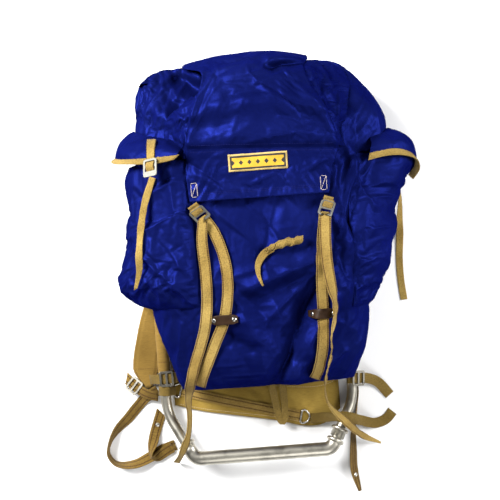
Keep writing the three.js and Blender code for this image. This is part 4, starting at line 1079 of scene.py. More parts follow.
# The lid's sides hang from its edges to an elastic hem that lies on the sack. Columns: y, x of the hem
LID_SIDES = {
    "left": [(268, -78), (255, -100), (235, -122), (205, -132), (180, -126), (160, -108)],
    "right": [(326, 138), (311, 180), (285, 193), (242, 187), (209, 178), (190, 166), (160, 172)],
}
SIDE_WRINKLES = {
    "left": [(-95, 250, 40, 60, 50, 14, 3.5), (-105, 215, 40, 110, 50, 13, 3.5),
             (-105, 180, 40, 70, 40, 11, 3.0)],
    "right": [(150, 300, 40, 110, 70, 18, 3.5), (165, 255, 45, 70, 60, 15, 3.5),
              (165, 205, 40, 30, 50, 13, 3.0)],
}
SIDE_CLEAR = 2.6


def build_lid_side(side, edge):
    hem = np.array(LID_SIDES[side])
    edge = edge[(edge[:, 1] < hem[:, 0].max()) & (edge[:, 1] > hem[:, 0].min())]
    hem_x = smooth(hem, edge[:, 1])[:, 1]
    hem_z = np.array([height(["sack"], x, y) for x, y in zip(hem_x, edge[:, 1])]) + SIDE_CLEAR
    share = np.linspace(0, 1, 20)[None, :]
    x = edge[:, :1] + (hem_x[:, None] - edge[:, :1]) * share
    y = np.broadcast_to(edge[:, 1:2], x.shape)
    z = edge[:, 2:] - 1.5 + (hem_z[:, None] - edge[:, 2:] + 1.5) * share**1.2 + 5 * np.sin(math.pi * share)
    wrinkles = wrinkle_rise(x, y, SIDE_WRINKLES[side], LID_SIDE_SEED) + facet_rise(x, y, *LID_SIDE_FACETS)
    z = z + wrinkles * np.sin(math.pi * share) ** 0.5
    grid = np.stack([x, y, z], -1)
    hold = np.zeros(x.shape)
    hold[:, :2] = 1
    hold[:, -1] = 0.8
    cloth = settled_grid(grid, hold, np.ones(x.shape), 0.1)
    rest_on(cloth.reshape(-1, 3), ["sack"], SIDE_CLEAR)
    obj = make_cloth(f"lid_side_{side}", f"lid_side_{side}", cloth, side == "right", replaced=False)


# Straps
def rounded_section(edge):
    """The outline of a flat strap with round edges: across and thickness, from -1 to 1."""
    top = [(1, 0.0), (1 - 0.3 * edge, 0.75), (1 - edge, 1), (0.5, 1), (0, 1), (-0.5, 1), (-1 + edge, 1),
           (-1 + 0.3 * edge, 0.75), (-1, 0.0)]
    return top + [(a, -b) for a, b in top[-2:0:-1]]


def cushion_section(count=36):
    """The outline of a padded strap, with a sewn lip along each edge."""
    outline = []
    for angle in np.linspace(0, 2 * math.pi, count, endpoint=False):
        a = math.copysign(abs(math.cos(angle)) ** 0.55, math.cos(angle))
        b = math.copysign(max(0.0, 1 - abs(a) ** 5) ** 0.5, math.sin(angle))
        groove = 0.4 * math.exp(-(((abs(a) - 0.8) / 0.05) ** 2))
        outline.append((a, b * (1 - groove)))
    return outline


FLAT = rounded_section(0.09)
CUSHION = cushion_section()


def stations_of(middle, side, width):
    return {"middle": np.array(middle), "side": np.array(side), "width": np.array(width, float)}


def ribbon(stations, thick=WEB_THICK, section=FLAT, slant=0.0):
    """Points, faces and strap coordinates, in centimetres, of a strap along its stations."""
    middle, side, width = stations["middle"], stations["side"], stations["width"]
    run = unit(np.gradient(middle, axis=0))
    face = unit(np.cross(run, side))
    a = np.array([p[0] for p in section])[None, :, None]
    b = np.array([p[1] for p in section])[None, :, None]
    rings = middle[:, None] + side[:, None] * a * width[:, None, None] / 2 + face[:, None] * b * thick / 2
    rings[-1] += run[-1] * a[0] * slant
    length = distances(middle) / 10
    across = a[..., 0] * width[:, None] / 20
    uv = np.stack(np.broadcast_arrays(across, length[:, None]), -1).reshape(-1, 2)
    return (*loft(rings), uv)


def make_strap(name, node, stations, look=None, slot="webbing", **form):
    points, faces, uv = ribbon(stations, **form)
    obj = new_mesh(name, points, faces, look or TAN, uv, solid=True)
    return as_bed(node, dress(obj, slot, node))


def route_rows(route):
    rows = np.zeros((len(route), 5))
    for i, spot in enumerate(route):
        rows[i, 1 : 1 + len(spot)] = spot
    rows[:, 0] = distances(rows[:, 1:3])
    return rows


def lay(route, beds, width=WEB_WIDTH, thick=WEB_THICK, coarse=16.0, fine=4.0, taut=4):
    """Stations of a strap along a route seen from above. Columns: x, y, lift, twist in degrees.
    It lies on the beds or on the floor, is pulled straight over hollows, and clears what it lies on."""
    rows = route_rows(route)
    total = rows[-1, 0]
    far = np.linspace(0, total, max(3, round(total / coarse) + 1))
    z = bedded(smooth(rows, far), beds, width, thick, coarse)[0]
    for _ in range(taut):
        z[1:-1] = np.maximum(z[1:-1], (z[:-2] + z[2:]) / 2)
    near = np.linspace(0, total, max(4, round(total / fine) + 1))
    spots = smooth(rows, near)
    wanted = smooth(np.stack([far, z], -1), near)[:, 1]
    floor, side = bedded(spots, beds, width, thick, fine)
    z = np.maximum(wanted, floor - spots[:, 3] * 0.999)
    for _ in range(6):
        z[1:-1] = np.maximum(floor[1:-1] - np.maximum(spots[1:-1, 3], 0), (z[:-2] + 2 * z[1:-1] + z[2:]) / 4)
    middle = np.stack([spots[:, 1], spots[:, 2], z], -1)
    return stations_of(middle, side, np.full(len(near), width))


def bedded(spots, beds, width, thick, step):
    """The lowest height that each spot of a strap may have, with its lift, and the direction across it."""
    run = unit(np.gradient(spots[:, 1:3], axis=0))
    heights, leans = [], []
    for (_, x, y, lift, twist), (dx, dy) in zip(spots, run):
        reach = max(2.0, width / 2 * abs(math.cos(math.radians(twist))))
        samples = {}
        for across in (-1, 0, 1):
            for ahead in (-0.5, 0, 0.5):
                spot_x = x + across * reach * dy + ahead * step * dx
                spot_y = y - across * reach * dx + ahead * step * dy
                samples[across, ahead] = height(beds, spot_x, spot_y)
        right, left = samples[1, 0], samples[-1, 0]
        lean = math.atan2(right - left, 2 * reach) if abs(right - left) < 1.4 * reach else 0.0
        bed = max(z - across * reach * math.tan(lean) for (across, _), z in samples.items())
        turned = abs(math.sin(math.radians(twist)))
        stand = width / 2 * turned + thick / 2 * math.sqrt(1 - turned**2) / math.cos(lean)
        heights.append(bed + (GAP if bed > 0 else GAP / 2) + lift + stand)
        leans.append(lean)
    leans = np.convolve(np.pad(leans, 2, "edge"), [0.1, 0.2, 0.4, 0.2, 0.1], "valid")
    turn = np.radians(spots[:, 4]) + leans
    flat = np.stack([run[:, 1], -run[:, 0], 0 * run[:, 0]], -1)
    side = flat * np.cos(turn)[:, None] + UP * np.sin(turn)[:, None]
    return np.array(heights), side


def chain(*parts):
    return {key: np.concatenate([part[key] for part in parts]) for key in parts[0]}


def turn_back(stations, radius, back_by=0.0):
    """Adds a half turn round a bar to the end of a strap: up and back over itself."""
    middle, side, width = (stations[key] for key in ("middle", "side", "width"))
    run = unit(middle[-1] - middle[-2])
    face = unit(np.cross(side[-1], run))
    angles = np.radians(np.linspace(20, 180, 9))
    added = [middle[-1] + run * radius * math.sin(a) + face * radius * (1 - math.cos(a)) for a in angles]
    if back_by:
        added.append(added[-1] - run * back_by)
    more = stations_of(added, np.repeat(side[-1:], len(added), 0), np.full(len(added), width[-1]))
    return chain(stations, more)


def taper(stations, length, tip):
    """Narrows the end of a strap to its tip."""
    run = distances(stations["middle"])
    share = np.clip((run - run[-1] + length) / length, 0, 1)
    stations["width"] = stations["width"] * (1 - share) + tip * share
    return stations


def plane_at(stations, i):
    """The strap's own plane at one of its stations."""
    middle, side = stations["middle"], stations["side"]
    i = i % len(middle)
    run = unit(middle[min(len(middle) - 1, i + 1)] - middle[max(0, i - 1)])
    out = unit(np.cross(side[i], run))
    return {"origin": middle[i], "run": run, "out": out, "side": np.cross(run, out)}


def in_plane(plane, along, up=0.0, across=0.0):
    return plane["origin"] + plane["run"] * along + plane["out"] * up + plane["side"] * across


def station_at(plane, rows, width):
    """Stations in a plane. Columns: along, up"""
    middle = [in_plane(plane, along, up) for along, up in rows]
    return stations_of(middle, np.repeat(plane["side"][None], len(rows), 0), np.full(len(rows), width))


# Metal fittings
SLIDE_THICK = 1.8
SLIDE_BAR = 4
SLIDE_SLOT = 7
SLIDE_EDGE = 3.6
TURN_RADIUS = SLIDE_THICK / 2 + GAP + WEB_THICK / 2


def rounded_loop(width, low, high, radius, steps=5):
    half = width / 2 - radius
    low, high = low + radius, high - radius
    corners = [(half, low, -90), (half, high, 0), (-half, high, 90), (-half, low, 180)]
    spots = []
    for x, y, start in corners:
        for angle in np.radians(np.linspace(start, start + 90, steps)):
            spots.append((x + radius * math.cos(angle), y + radius * math.sin(angle)))
    return spots


def plate_mesh(loops, thick, edge=0.4):
    """A flat plate with holes and rounded edges, round the origin."""
    curve = bpy.data.curves.new("plate", "CURVE")
    curve.dimensions = "2D"
    curve.fill_mode = "BOTH"
    curve.extrude = thick / 2 - edge
    curve.bevel_depth = edge
    curve.bevel_resolution = 2
    curve.offset = -edge
    for loop in loops:
        spline = curve.splines.new("POLY")
        spline.points.add(len(loop) - 1)
        for point, (x, y) in zip(spline.points, loop):
            point.co = (x, y, 0, 1)
        spline.use_cyclic_u = True
    obj = bpy.data.objects.new("plate", curve)
    mesh = bpy.data.meshes.new_from_object(obj)
    points = np.array([v.co for v in mesh.vertices])
    faces = [list(face.vertices) for face in mesh.polygons]
    bpy.data.objects.remove(obj)
    bpy.data.curves.remove(curve)
    bpy.data.meshes.remove(mesh)
    return points, faces


def into_plane(points, origin, plane):
    """Points across, along and out of a plane, moved into the plan."""
    return origin + points @ np.stack([plane["side"], plane["run"], plane["out"]])


def make_slide(name, node, origin, plane, look, slot, width=WEB_WIDTH + 2, last_bar=SLIDE_BAR, curl=0.0):
    """A plate with two slots. Its last bar may curl up out of the plate."""
    top = 1.5 * SLIDE_BAR + 2 * SLIDE_SLOT + last_bar
    loops = [rounded_loop(width + 2 * SLIDE_EDGE, -SLIDE_BAR / 2, top, 4)]
    for start in (SLIDE_BAR / 2, 1.5 * SLIDE_BAR + SLIDE_SLOT):
        loops.append(rounded_loop(width, start, start + SLIDE_SLOT, 1.5))
    points, faces = plate_mesh(loops, SLIDE_THICK)
    points[:, 2] += curl * (points[:, 1] / top - 0.4) ** 2 * 4
    obj = new_mesh(name, into_plane(points, origin, plane), faces, look, solid=True)
    obj.modifiers.new("edges", "EDGE_SPLIT").split_angle = math.radians(40)
    return dress(obj, slot, node)


RIVET_RADIUS = 4
RIVET_RISE = 1.7


def make_rivet(name, node, plane, above, hole=0.0):
    """A domed rivet head, or an eyelet where it has a hole."""
    profile = [(hole, 0.2 if hole else RIVET_RISE)]
    for angle in np.radians(np.linspace(78, 0, 7)):
        profile.append((hole + (RIVET_RADIUS - hole) * math.cos(angle), RIVET_RISE * math.sin(angle)))
    profile.append((RIVET_RADIUS, -0.3))
    angles = np.linspace(0, 2 * math.pi, 24, endpoint=False)
    rings = [np.stack([max(r, 0.02) * np.cos(angles), max(r, 0.02) * np.sin(angles), np.full(24, z)], -1)
             for r, z in profile]
    points, faces = loft(np.array(rings))
    points = into_plane(points, in_plane(plane, 0, above), plane)
    dress(new_mesh(name, points, faces, STEEL, solid=True), "steel", node)


def make_ring(name, node, plane, wire=1.6, width=25, depth=15):
    """A wire ring shaped like a D, standing off the end of its webbing."""
    half = [(0.03, 0), (0.8, 0), (1, 0.17), (0.95, 0.45), (0.5, 0.9)]
    outline = half + [(0, 1)] + [(-a, b) for a, b in half[::-1]]
    up = wire - WEB_THICK / 2 + GAP
    spots = np.array([in_plane(plane, GAP + wire + b * depth, up, -a * width / 2) for a, b in outline])
    rows = np.column_stack([distances(spots), spots])
    path = smooth(rows, np.linspace(0, rows[-1, 0], 48))[:, 1:]
    dress(new_mesh(name, *loft(tube_rings(path, wire, 12)), STEEL, solid=True), "steel", node)


# Stitches
def stitches(name, lines, look, slot, spacing=4.2, length=3.0, radius=0.45):
    """Short threads along lines of points that lie on a surface."""
    parts = []
    for line in lines:
        run = distances(line)
        for start in np.arange(spacing / 2, run[-1] - length, spacing):
            ends = [[np.interp(at, run, column) for column in line.T] for at in (start, start + length)]
            parts.append(loft(tube_rings(np.linspace(*ends, 4), radius * np.array([0.45, 1, 1, 0.45]), 5)))
    return dress(new_mesh(name, *join_parts(parts), look, solid=True), slot)


def on_beds(path, beds, lift):
    return np.array([(x, y, height(beds, x, y) + lift) for x, y in path])


# Harness
SHOULDERS = {
    "left": [(-50, 214), (-72, 130), (-108, 40), (-150, -40), (-182, -100), (-203, -170), (-209, -205),
             (-207, -242)],
    "right": [(44, 214), (66, 130), (98, 40), (122, -40), (134, -100), (138, -140), (138, -165), (138, -196)],
}


def build_shoulders():
    for side, route in SHOULDERS.items():
        stations = lay(route, [], SHOULDER_WIDTH, PAD_THICK - GAP, 36, 6, 0)
        taper(stations, 34, 13)
        points, faces, uv = ribbon(stations, PAD_THICK - GAP, CUSHION)
        obj = new_mesh(f"shoulder_pad_{side}", points, faces, STRAP_CANVAS, uv, solid=True)
        as_bed(f"shoulder_strap_{side}", dress(obj, "canvas", f"shoulder_strap_{side}"))
        if side == "left":
            end = plane_at(stations, -7)
            lines = [[in_plane(end, 0, PAD_THICK / 2, across) for across in np.linspace(-23, 23, 12)]]
            for sign in (-1, 1):
                shares = np.linspace(0, 1, 8)
                lines.append([in_plane(end, 30 * t, 0, sign * (22 - 15 * t)) for t in shares])
            lines = [on_beds(np.array(line)[:, :2], ["shoulder_strap_left"], 0.1) for line in lines]
            stitches("shoulder_seam_stitches", lines, BROWN_THREAD, "canvas")


# A canvas sleeve sewn round the left upright, beside the shoulder strap
SLEEVE_YS = (-100, -214)
SLEEVE_HEM = -194


def build_upright_sleeve():
    ys = np.linspace(*SLEEVE_YS, 60)
    path = np.stack([np.full(60, FRAME_MIDDLE - FRAME_HALF), ys, np.full(60, FRAME_Z)], -1)
    slack = 0.5 * np.sin(ys / 5) * np.sin(ys / 13) - 0.9 * np.exp(-(((ys - SLEEVE_HEM) / 1.6) ** 2))
    rings = tube_rings(path, TUBE_RADIUS + 1.7 + slack, 32)
    obj = dress(new_mesh("upright_sleeve", *loft(rings), STRAP_CANVAS, solid=True), "canvas")
    as_bed("upright_sleeve", obj)
    x = FRAME_MIDDLE - FRAME_HALF
    hem = on_beds([(x + off, SLEEVE_HEM) for off in np.linspace(-9, 9, 10)], ["upright_sleeve"], 0.2)
    stitches("sleeve_stitches", [hem], BROWN_THREAD, "canvas")


# The back band. Columns: x, top, low
BAND = [
    (BAND_LEFT, BAND_TOP, -278), (-110, -205, -293), (-40, -206, -307), (30, -208, -321), (78, -209, -334),
    (116, -210, -331), (146, -212, -306),
]
BAND_LENGTH = BAND[-1][0] - BAND[0][0]
BAND_HEIGHT = 90  # about the middle of its heights
BAND_ROUND = 4.5  # how far in from its edges the band takes to swell
BAND_SEAMS = (0.3, 0.42)


def build_band():
    """The back band: two layers of canvas over a pad, drawn in along its sewn lines."""
    xs = np.linspace(BAND[0][0], BAND[-1][0], 110)
    shares = np.linspace(0, 1, 44)
    row = smooth(BAND, xs)
    u, v = np.meshgrid(np.linspace(0, 1, len(xs)), shares)
    y = row[None, :, 1] + (row[None, :, 2] - row[None, :, 1]) * v
    ends, sides = np.minimum(u, 1 - u) * BAND_LENGTH, np.minimum(v, 1 - v) * BAND_HEIGHT
    plain = 1 - np.exp(-np.minimum(ends, sides) / BAND_ROUND)
    swell = plain.copy()
    for seam in BAND_SEAMS:
        swell -= 0.4 * np.exp(-(((v - seam) / 0.018) ** 2))
    pucker = 0.9 * np.sin(u * 95 + 2 * np.sin(9 * v)) * np.exp(-(((v - 0.2) / 0.16) ** 2))
    pucker += 1.6 * np.sin(u * 31 + 3 * np.sin(5 * v)) * np.sin(u * 12 + 4 * v) - 0.8
    half = (PAD_THICK - GAP) / 2
    top = half + half * (0.18 + 0.82 * swell) + pucker * swell
    low = half - half * (0.18 + 0.82 * plain)
    upper = np.stack([np.broadcast_to(xs, u.shape), y, np.minimum(top, PAD_THICK - 0.2)], -1)
    under = upper.copy()
    under[..., 2] = low
    rows, columns = u.shape
    faces = grid_faces(rows, columns)
    count = rows * columns
    faces += [[count + k for k in face[::-1]] for face in grid_faces(rows, columns)]
    index = np.arange(count).reshape(rows, columns)
    rim = np.concatenate([index[0], index[1:, -1], index[-1, -2::-1], index[-2:0:-1, 0]])
    faces += [[a, b, b + count, a + count] for a, b in zip(rim, np.roll(rim, -1))]
    points = np.concatenate([upper.reshape(-1, 3), under.reshape(-1, 3)])
    obj = dress(new_mesh("band_pad", points, faces, BAND_CANVAS, solid=True), "canvas", "back_band")
    as_bed("back_band", obj)
    lines = []
    for share in (*BAND_SEAMS, 0.06, 0.94):
        line = [(x, top_y + (low_y - top_y) * share) for x, top_y, low_y in row[3:-3]]
        lines.append(on_beds(line, ["back_band"], 0.1))
    stitches("band_stitches", lines, TAN_THREAD, "canvas", radius=0.6)
    piped = np.stack([row[2:-2, 0], row[2:-2, 1] + 0.6, np.full(len(row) - 4, PAD_THICK - 4.0)], -1)
    piping = new_mesh("band_piping", *loft(tube_rings(piped, 2.4, 12)), PIPING, solid=True)
    dress(piping, "canvas")


# Routes of the straps seen from above. Columns: x, y, lift, twist in degrees
BAND_WEBBING = [(-146, -252), (-70, -275), (10, -297), (70, -314)]
HIP_WIDTH = 20
HIP_STRAPS = {
    "left": [(-190, -247, 0.4), (-212, -258, 0.4), (-232, -277, 0, 8), (-250, -296, 0, 18),
             (-270, -314, 0, 45), (-286, -338, 0, 78), (-290, -360, 0, 84), (-276, -378, 0, 76),
             (-244, -381, 0, 50), (-214, -371, 0, 20), (-190, -360, 0, 4), (-168, -353)],
    "right": [(180.2, -252, 0, 88), (180.2, -280, 0, 86), (173, -320, 0, 74), (167, -348, 0, 60),
              (164, -385, 0, 45), (163, -422, 0, 42), (171, -463, 0, 30)],
}
HIP_FOLD_BACK = [
    (-172, -356, 3), (-188, -364, 3), (-202, -372, 3, 30), (-211, -371, 3.2, 66), (-212, -360, 3.2, 60),
    (-207, -344, 3.2, 20), (-200, -322, 1), (-188, -290),
]
TAB_RIGHT = [
    (89, -321, 0.2), (122, -317, 5), (150, -315, 2), (181, -329, 3), (207, -339, 1), (229, -334), (243, -320),
]
SHOULDER_TAIL = [(-190, -258, 1), (-200, -256, 1), (-214, -250, 0), (-230, -239, 0), (-248, -222, 0)]
CORNERS = {
    "left": [(-150, -224, 0.3), (-172, -224, 0.3), (-188, -225, 0.3), (-203, -226, 0.3)],
    "right": [(160, -248, 0.3), (178, -249, 1), (197, -252, 1.5), (219, -263, 1), (240, -289)],
}
SHOULDER_SLIDE = (-233, -237)

# The left tab of the band seen from its end. Columns: x, z
TAB_LEFT = [(-157, 16.4), (-163, 24), (-168, 30.4), (-175, 31.6), (-182, 29.4), (-187, 22)]
TAB_LEFT_Y = -249
TAB_SLOPE = 0.1


def nearest_station(stations, x, y):
    return int(np.argmin(np.hypot(stations["middle"][:, 0] - x, stations["middle"][:, 1] - y)))


def slide_over(name, node, stations, i):
    """A slide lying on a strap, with its middle bar at one of the strap's stations."""
    plane = plane_at(stations, i)
    origin = in_plane(plane, -SLIDE_SLOT - SLIDE_BAR, TURN_RADIUS + GAP)
    make_slide(name, node, origin, plane, AGED, "steel")


def build_harness():
    stations = lay(BAND_WEBBING, ["back_band"])
    make_strap("band_tape", "band_webbing", stations, BAND_TAPE)
    make_ring("wire_ring_right", "d_ring_right", plane_at(stations, -1))
    start = plane_at(stations, 0)
    start.update(run=-start["run"], side=-start["side"])
    make_ring("wire_ring_left", "d_ring_left", start)

    around = turn_back(lay(HIP_STRAPS["left"], ["shoulder_strap_left"], HIP_WIDTH, taut=0), 1.5)
    hip = chain(around, lay(HIP_FOLD_BACK, [], HIP_WIDTH, coarse=12, taut=0))
    make_strap("hip_tape_left", "hip_strap_left", hip, STRIPED, "striped_webbing", slant=-5)
    make_rivet("hip_rivet", "hip_rivet_left", plane_at(hip, -7), WEB_THICK / 2 + 0.1)
    right = taper(lay(HIP_STRAPS["right"], [], HIP_WIDTH, taut=0), 40, 7)
    make_strap("hip_tape_right", "hip_strap_right", right, OLIVE, "striped_webbing")
    make_rivet("hip_eyelet", "hip_eyelet_right", plane_at(right, -9), WEB_THICK / 2 + 0.1, hole=1.8)

    rows = np.column_stack([route_rows(TAB_LEFT)[:, 0], np.array(TAB_LEFT)])
    spots = smooth(rows, np.linspace(0, rows[-1, 0], 16))
    middle = [(x, TAB_LEFT_Y - (x - TAB_LEFT[0][0]) * TAB_SLOPE, z) for _, x, z in spots]
    tab = stations_of(middle, np.repeat([[TAB_SLOPE, 0.995, 0]], 16, 0), np.full(16, WEB_WIDTH - 2))
    make_strap("band_tab_tape_left", "band_tab_left", tab, DARK_TAN)
    beds = ["back_band", "frame", "foot_bar", "foot_sleeve", "hip_strap_right"]
    make_strap("band_tab_tape_right", "band_tab_right", lay(TAB_RIGHT, beds, coarse=10), DARK_TAN)

    tail = lay(SHOULDER_TAIL, ["hip_strap_left", "shoulder_strap_left"], coarse=11)
    make_strap("shoulder_tail_tape", "shoulder_tail_left", tail, STRIPED, "striped_webbing", slant=6)
    slide_over("shoulder_slide", "shoulder_slide_left", tail, nearest_station(tail, *SHOULDER_SLIDE))
    for side, route in CORNERS.items():
        corner = lay(route, ["frame", "shoulder_strap_left", "hip_strap_right"], coarse=9, taut=8)
        make_strap(f"corner_tape_{side}", f"corner_strap_{side}", corner, DARK_TAN)
        nearest = nearest_station(corner, *route[1][:2])
        slide_over(f"corner_buckle_{side}", f"corner_slide_{side}", corner, nearest)


# Each strap is held at the foot, goes up to its buckle and comes back loose. Columns as in the harness
LID_STRAPS = {
    "left": {
        "held": [(-104, -230), (-97, -211), (-72, -157), (-52, -114), (-42, -64), (-43, -17), (-56, 30),
                 (-73, 60)],
        "loose": [(-75, 54, 3), (-79, 22, 1), (-77, -36), (-78, -78, 0, 10), (-84, -119, 0, 20),
                  (-95, -154, 0, 15), (-109, -190, 1, 15), (-121, -228, 2, 35), (-130, -262, 6, 58),
                  (-131, -292, 12, 66), (-135, -322, 8, 66), (-144, -345, 1, 60), (-158, -372, 1, 58),
                  (-166, -384, 0, 54)],
    },
    "right": {
        "held": [(95, -230), (102, -213), (110, -169, 1), (114, -115, 1.5), (115, -75, 1), (117, -29, 1),
                 (122, 16, 0.6), (128, 52)],
        "loose": [(129, 46, 3), (126, 8, 1), (126, -30, 1, 5), (130, -68, 1, 25), (134, -102, 1, 52),
                  (131, -126, 1, 64), (124, -154, 1, 70), (124, -180, 1, 74), (117, -213, 1, 76),
                  (113, -243, 2, 76), (117, -277, 3, 72), (126, -296, 4, 66), (149, -321, 2, 55),
                  (181, -355, 2, 45), (216, -376, 0, 40)],
    },
}
LOOSE_BEDS = (
    "sack", "pocket_left", "foot_bar", "frame", "foot_sleeve", "back_band", "band_webbing", "band_tab_right",
    "hip_strap_right",
)
KEEPER_REACH = 23
KEEPER_WIDTH = 17
KEEPER_THICK = 2.4
BUCKLE_TILT = math.radians(24)


def build_keeper(side, x, y):
    route = [(x - KEEPER_REACH, y), (x, y), (x + KEEPER_REACH, y)]
    stations = lay(route, ["sack", f"held_{side}"], KEEPER_WIDTH, KEEPER_THICK, 9, 3, 2)
    count = np.arange(len(stations["middle"]))
    stations["width"] *= 0.72 + 0.28 * ease(np.minimum(count, count[::-1]) / 3)
    name, node = f"keeper_leather_{side}", f"keeper_{side}"
    make_strap(name, node, stations, LEATHER, "leather", thick=KEEPER_THICK)
    for number, spot in ((1, 2), (2, -3)):
        name, node = f"keeper_stud_{side}_{number}", f"keeper_rivet_{side}_{number}"
        make_rivet(name, node, plane_at(stations, spot), KEEPER_THICK / 2 + 0.1)


def tilted(plane, angle):
    turn = np.array(Matrix.Rotation(angle, 3, Vector(plane["side"])))
    return {**plane, "run": turn @ plane["run"], "out": turn @ plane["out"]}


def build_lid_strap(side):
    routes = LID_STRAPS[side]
    held = lay(routes["held"], ["sack"], coarse=19)
    plane = plane_at(held, -1)
    up = turn_back(held, TURN_RADIUS)
    points, faces, _ = ribbon(up)
    BEDS[f"held_{side}"] = BVHTree.FromPolygons(points.tolist(), faces)
    build_keeper(side, *routes["held"][3][:2])
    down = lay(routes["loose"], [f"held_{side}", f"keeper_{side}", *LOOSE_BEDS], coarse=19)
    if side == "right":
        taper(down, 60, 4)
    make_strap(f"lid_tape_{side}", f"lid_strap_{side}", chain(up, down))
    bar = in_plane(plane, -SLIDE_BAR / 2, TURN_RADIUS)
    plane = tilted(plane, BUCKLE_TILT)
    make_slide(f"lid_plate_{side}", f"lid_buckle_{side}", bar, plane, CAST, "alloy", curl=1.2)
    edge = 2 * SLIDE_SLOT + SLIDE_BAR
    plane["side"] = -plane["side"]
    tab = station_at(plane, [(edge + along, 0) for along in (12, 8, 4, -5)], WEB_WIDTH)
    make_strap(f"lid_tab_tape_{side}", f"lid_tab_{side}", turn_back(tab, TURN_RADIUS, 12), PLAIN_TAN)


POCKET_WEB = 16
# Routes of the small straps, as in the harness
POCKET_STRAP = [(-152, 199, -3.2), (-152.5, 184, -3.2), (-153, 168, -2)]
POCKET_TAIL = [(-171, 90), (-180, 48), (-186, 6), (-188, -20), (-198, -52)]
# How the strap runs through the pocket buckle. Columns: along, and up as a multiple of the turn's radius
WEAVE = [(6, 0), (10.6, 0), (13.5, 1), (16.4, 2), (21.6, 2), (24.5, 1), (27.4, 0), (33, 0)]
POCKET_TAIL_RIGHT = [
    (272.5, 98, 55, 84), (279, 84, 36, 70), (281, 62, 13, 45), (281, 36, 2, 20), (281, 10), (277, -40),
    (277, -77), (280, -114),
]
KNOT = [
    (88, 14, 1), (76, 9, 1), (62, 8, 1), (46, 3, 1), (33, -2, 1), (22, -9, 1), (12, -24, 1), (11, -42, 0.5),
    (17, -61, 0.3),
]
KNOT_WIDTH = 14
KNOT_RADIUS = 5.0
KNOT_TURNS = 4.2  # along the whole strap, of which about half is wound
FOOT_LOOP = [
    (21, -245, 40), (23, -262, 24), (26, -286, 8), (31, -312, 3), (36, -322, 3, 50), (41, -312, 4),
    (42, -286, 9), (41, -262, 25), (40, -245, 42),
]


def build_knot():
    """The knotted strap of the front: two strands wound round each other, and one flat tail."""
    knot = taper(lay(KNOT, ["sack"], NARROW_WEB, coarse=8, fine=2), 50, 3)
    middle, side = knot["middle"], knot["side"]
    out = unit(np.cross(side, np.gradient(middle, axis=0)))
    share = np.linspace(0, 1, len(middle))
    wound = share < 0.52
    swell = ease(share / 0.1 + 0.55) * (1 - 0.5 * ease((share - 0.3) / 0.2))
    parts = []
    for phase in (0, math.pi):
        turn = (2 * math.pi * KNOT_TURNS * share + phase)[:, None]
        spoke = side * np.cos(turn) + out * np.sin(turn)
        strand = middle + KNOT_RADIUS * swell[:, None] * (spoke + out)
        lying = unit(np.cross(spoke, np.gradient(strand, axis=0)))
        parts.append(ribbon(stations_of(strand[wound], lying[wound], KNOT_WIDTH * swell[wound])))
    tail = share > 0.4
    parts.append(ribbon({key: value[tail] for key, value in knot.items()}))
    points, faces = join_parts([part[:2] for part in parts])
    uv = np.concatenate([part[2] for part in parts])
    dress(new_mesh("knot_tape", points, faces, PLAIN_TAN, uv, solid=True), "webbing", "knot_strap")


def build_small_straps():
    laid = lay(POCKET_STRAP, ["flap_left", "binding_left"], POCKET_WEB, coarse=10)
    plane = plane_at(laid, -1)
    woven = station_at(plane, [(along, up * TURN_RADIUS) for along, up in WEAVE], POCKET_WEB)
    make_strap("pocket_tape_left", "pocket_strap_left", chain(laid, woven))
    bar = in_plane(plane, 8, TURN_RADIUS)
    make_slide("pocket_plate_left", "pocket_buckle_left", bar, plane, CAST, "alloy", POCKET_WEB + 2, 10)
    start = in_plane(plane, 36)
    tail = lay([tuple(start[:2]), *POCKET_TAIL], ["sack", "pocket_left"], NARROW_WEB - 1)
    make_strap("pocket_tail_tape_left", "pocket_tail_left", taper(tail, 45, 5), slant=2)
    make_strap("pocket_tail_tape_right", "pocket_tail_right", lay(POCKET_TAIL_RIGHT, [], NARROW_WEB))
    build_knot()
    loop = lay(FOOT_LOOP, ["back_band", "band_webbing"], NARROW_WEB, coarse=11)
    make_strap("foot_loop_tape", "foot_loop", loop, DARK_TAN)


BARTACKS = ((-85, 106), (131, 103))
TACK_WIDTH = 10
TACK_HEIGHT = 23
# Rows of stitches. Columns: y at the left, drop to the right, left, right
LID_ROWS = ((97, 0, -90, 137), (100, 0, -90, 137), (168, 12, -88, 150), (178, 12, -86, 150))


def build_lid_stitches():
    """Pale box and cross tacks above the buckles, and rows of stitches along the lid's seam and hem."""
    tacks = []
    for x, y in BARTACKS:
        signs = [(-1, -1), (1, -1), (1, 1), (-1, 1), (-1, -1), (1, 1), (1, -1)]
        corners = [(x + a * TACK_WIDTH / 2, y + b * TACK_HEIGHT / 2) for a, b in signs]
        for start, end in zip(corners, corners[1:]):
            tacks.append(on_beds(np.linspace(start, end, 8), ["lid"], 0.4))
    stitches("lid_tacks", tacks, WHITE_THREAD, "webbing", 2.4, 2.2, 0.55)
    rows = []
    for y, drop, left, right in LID_ROWS:
        rows.append(on_beds(np.linspace((left, y), (right, y - drop), 80), ["lid"], 0.25))
    stitches("lid_stitches", rows, BLUE_THREAD, "nylon", radius=0.35)


PATCH = {"left": -25, "right": 73, "low": 131, "high": 159, "thick": 1.0}


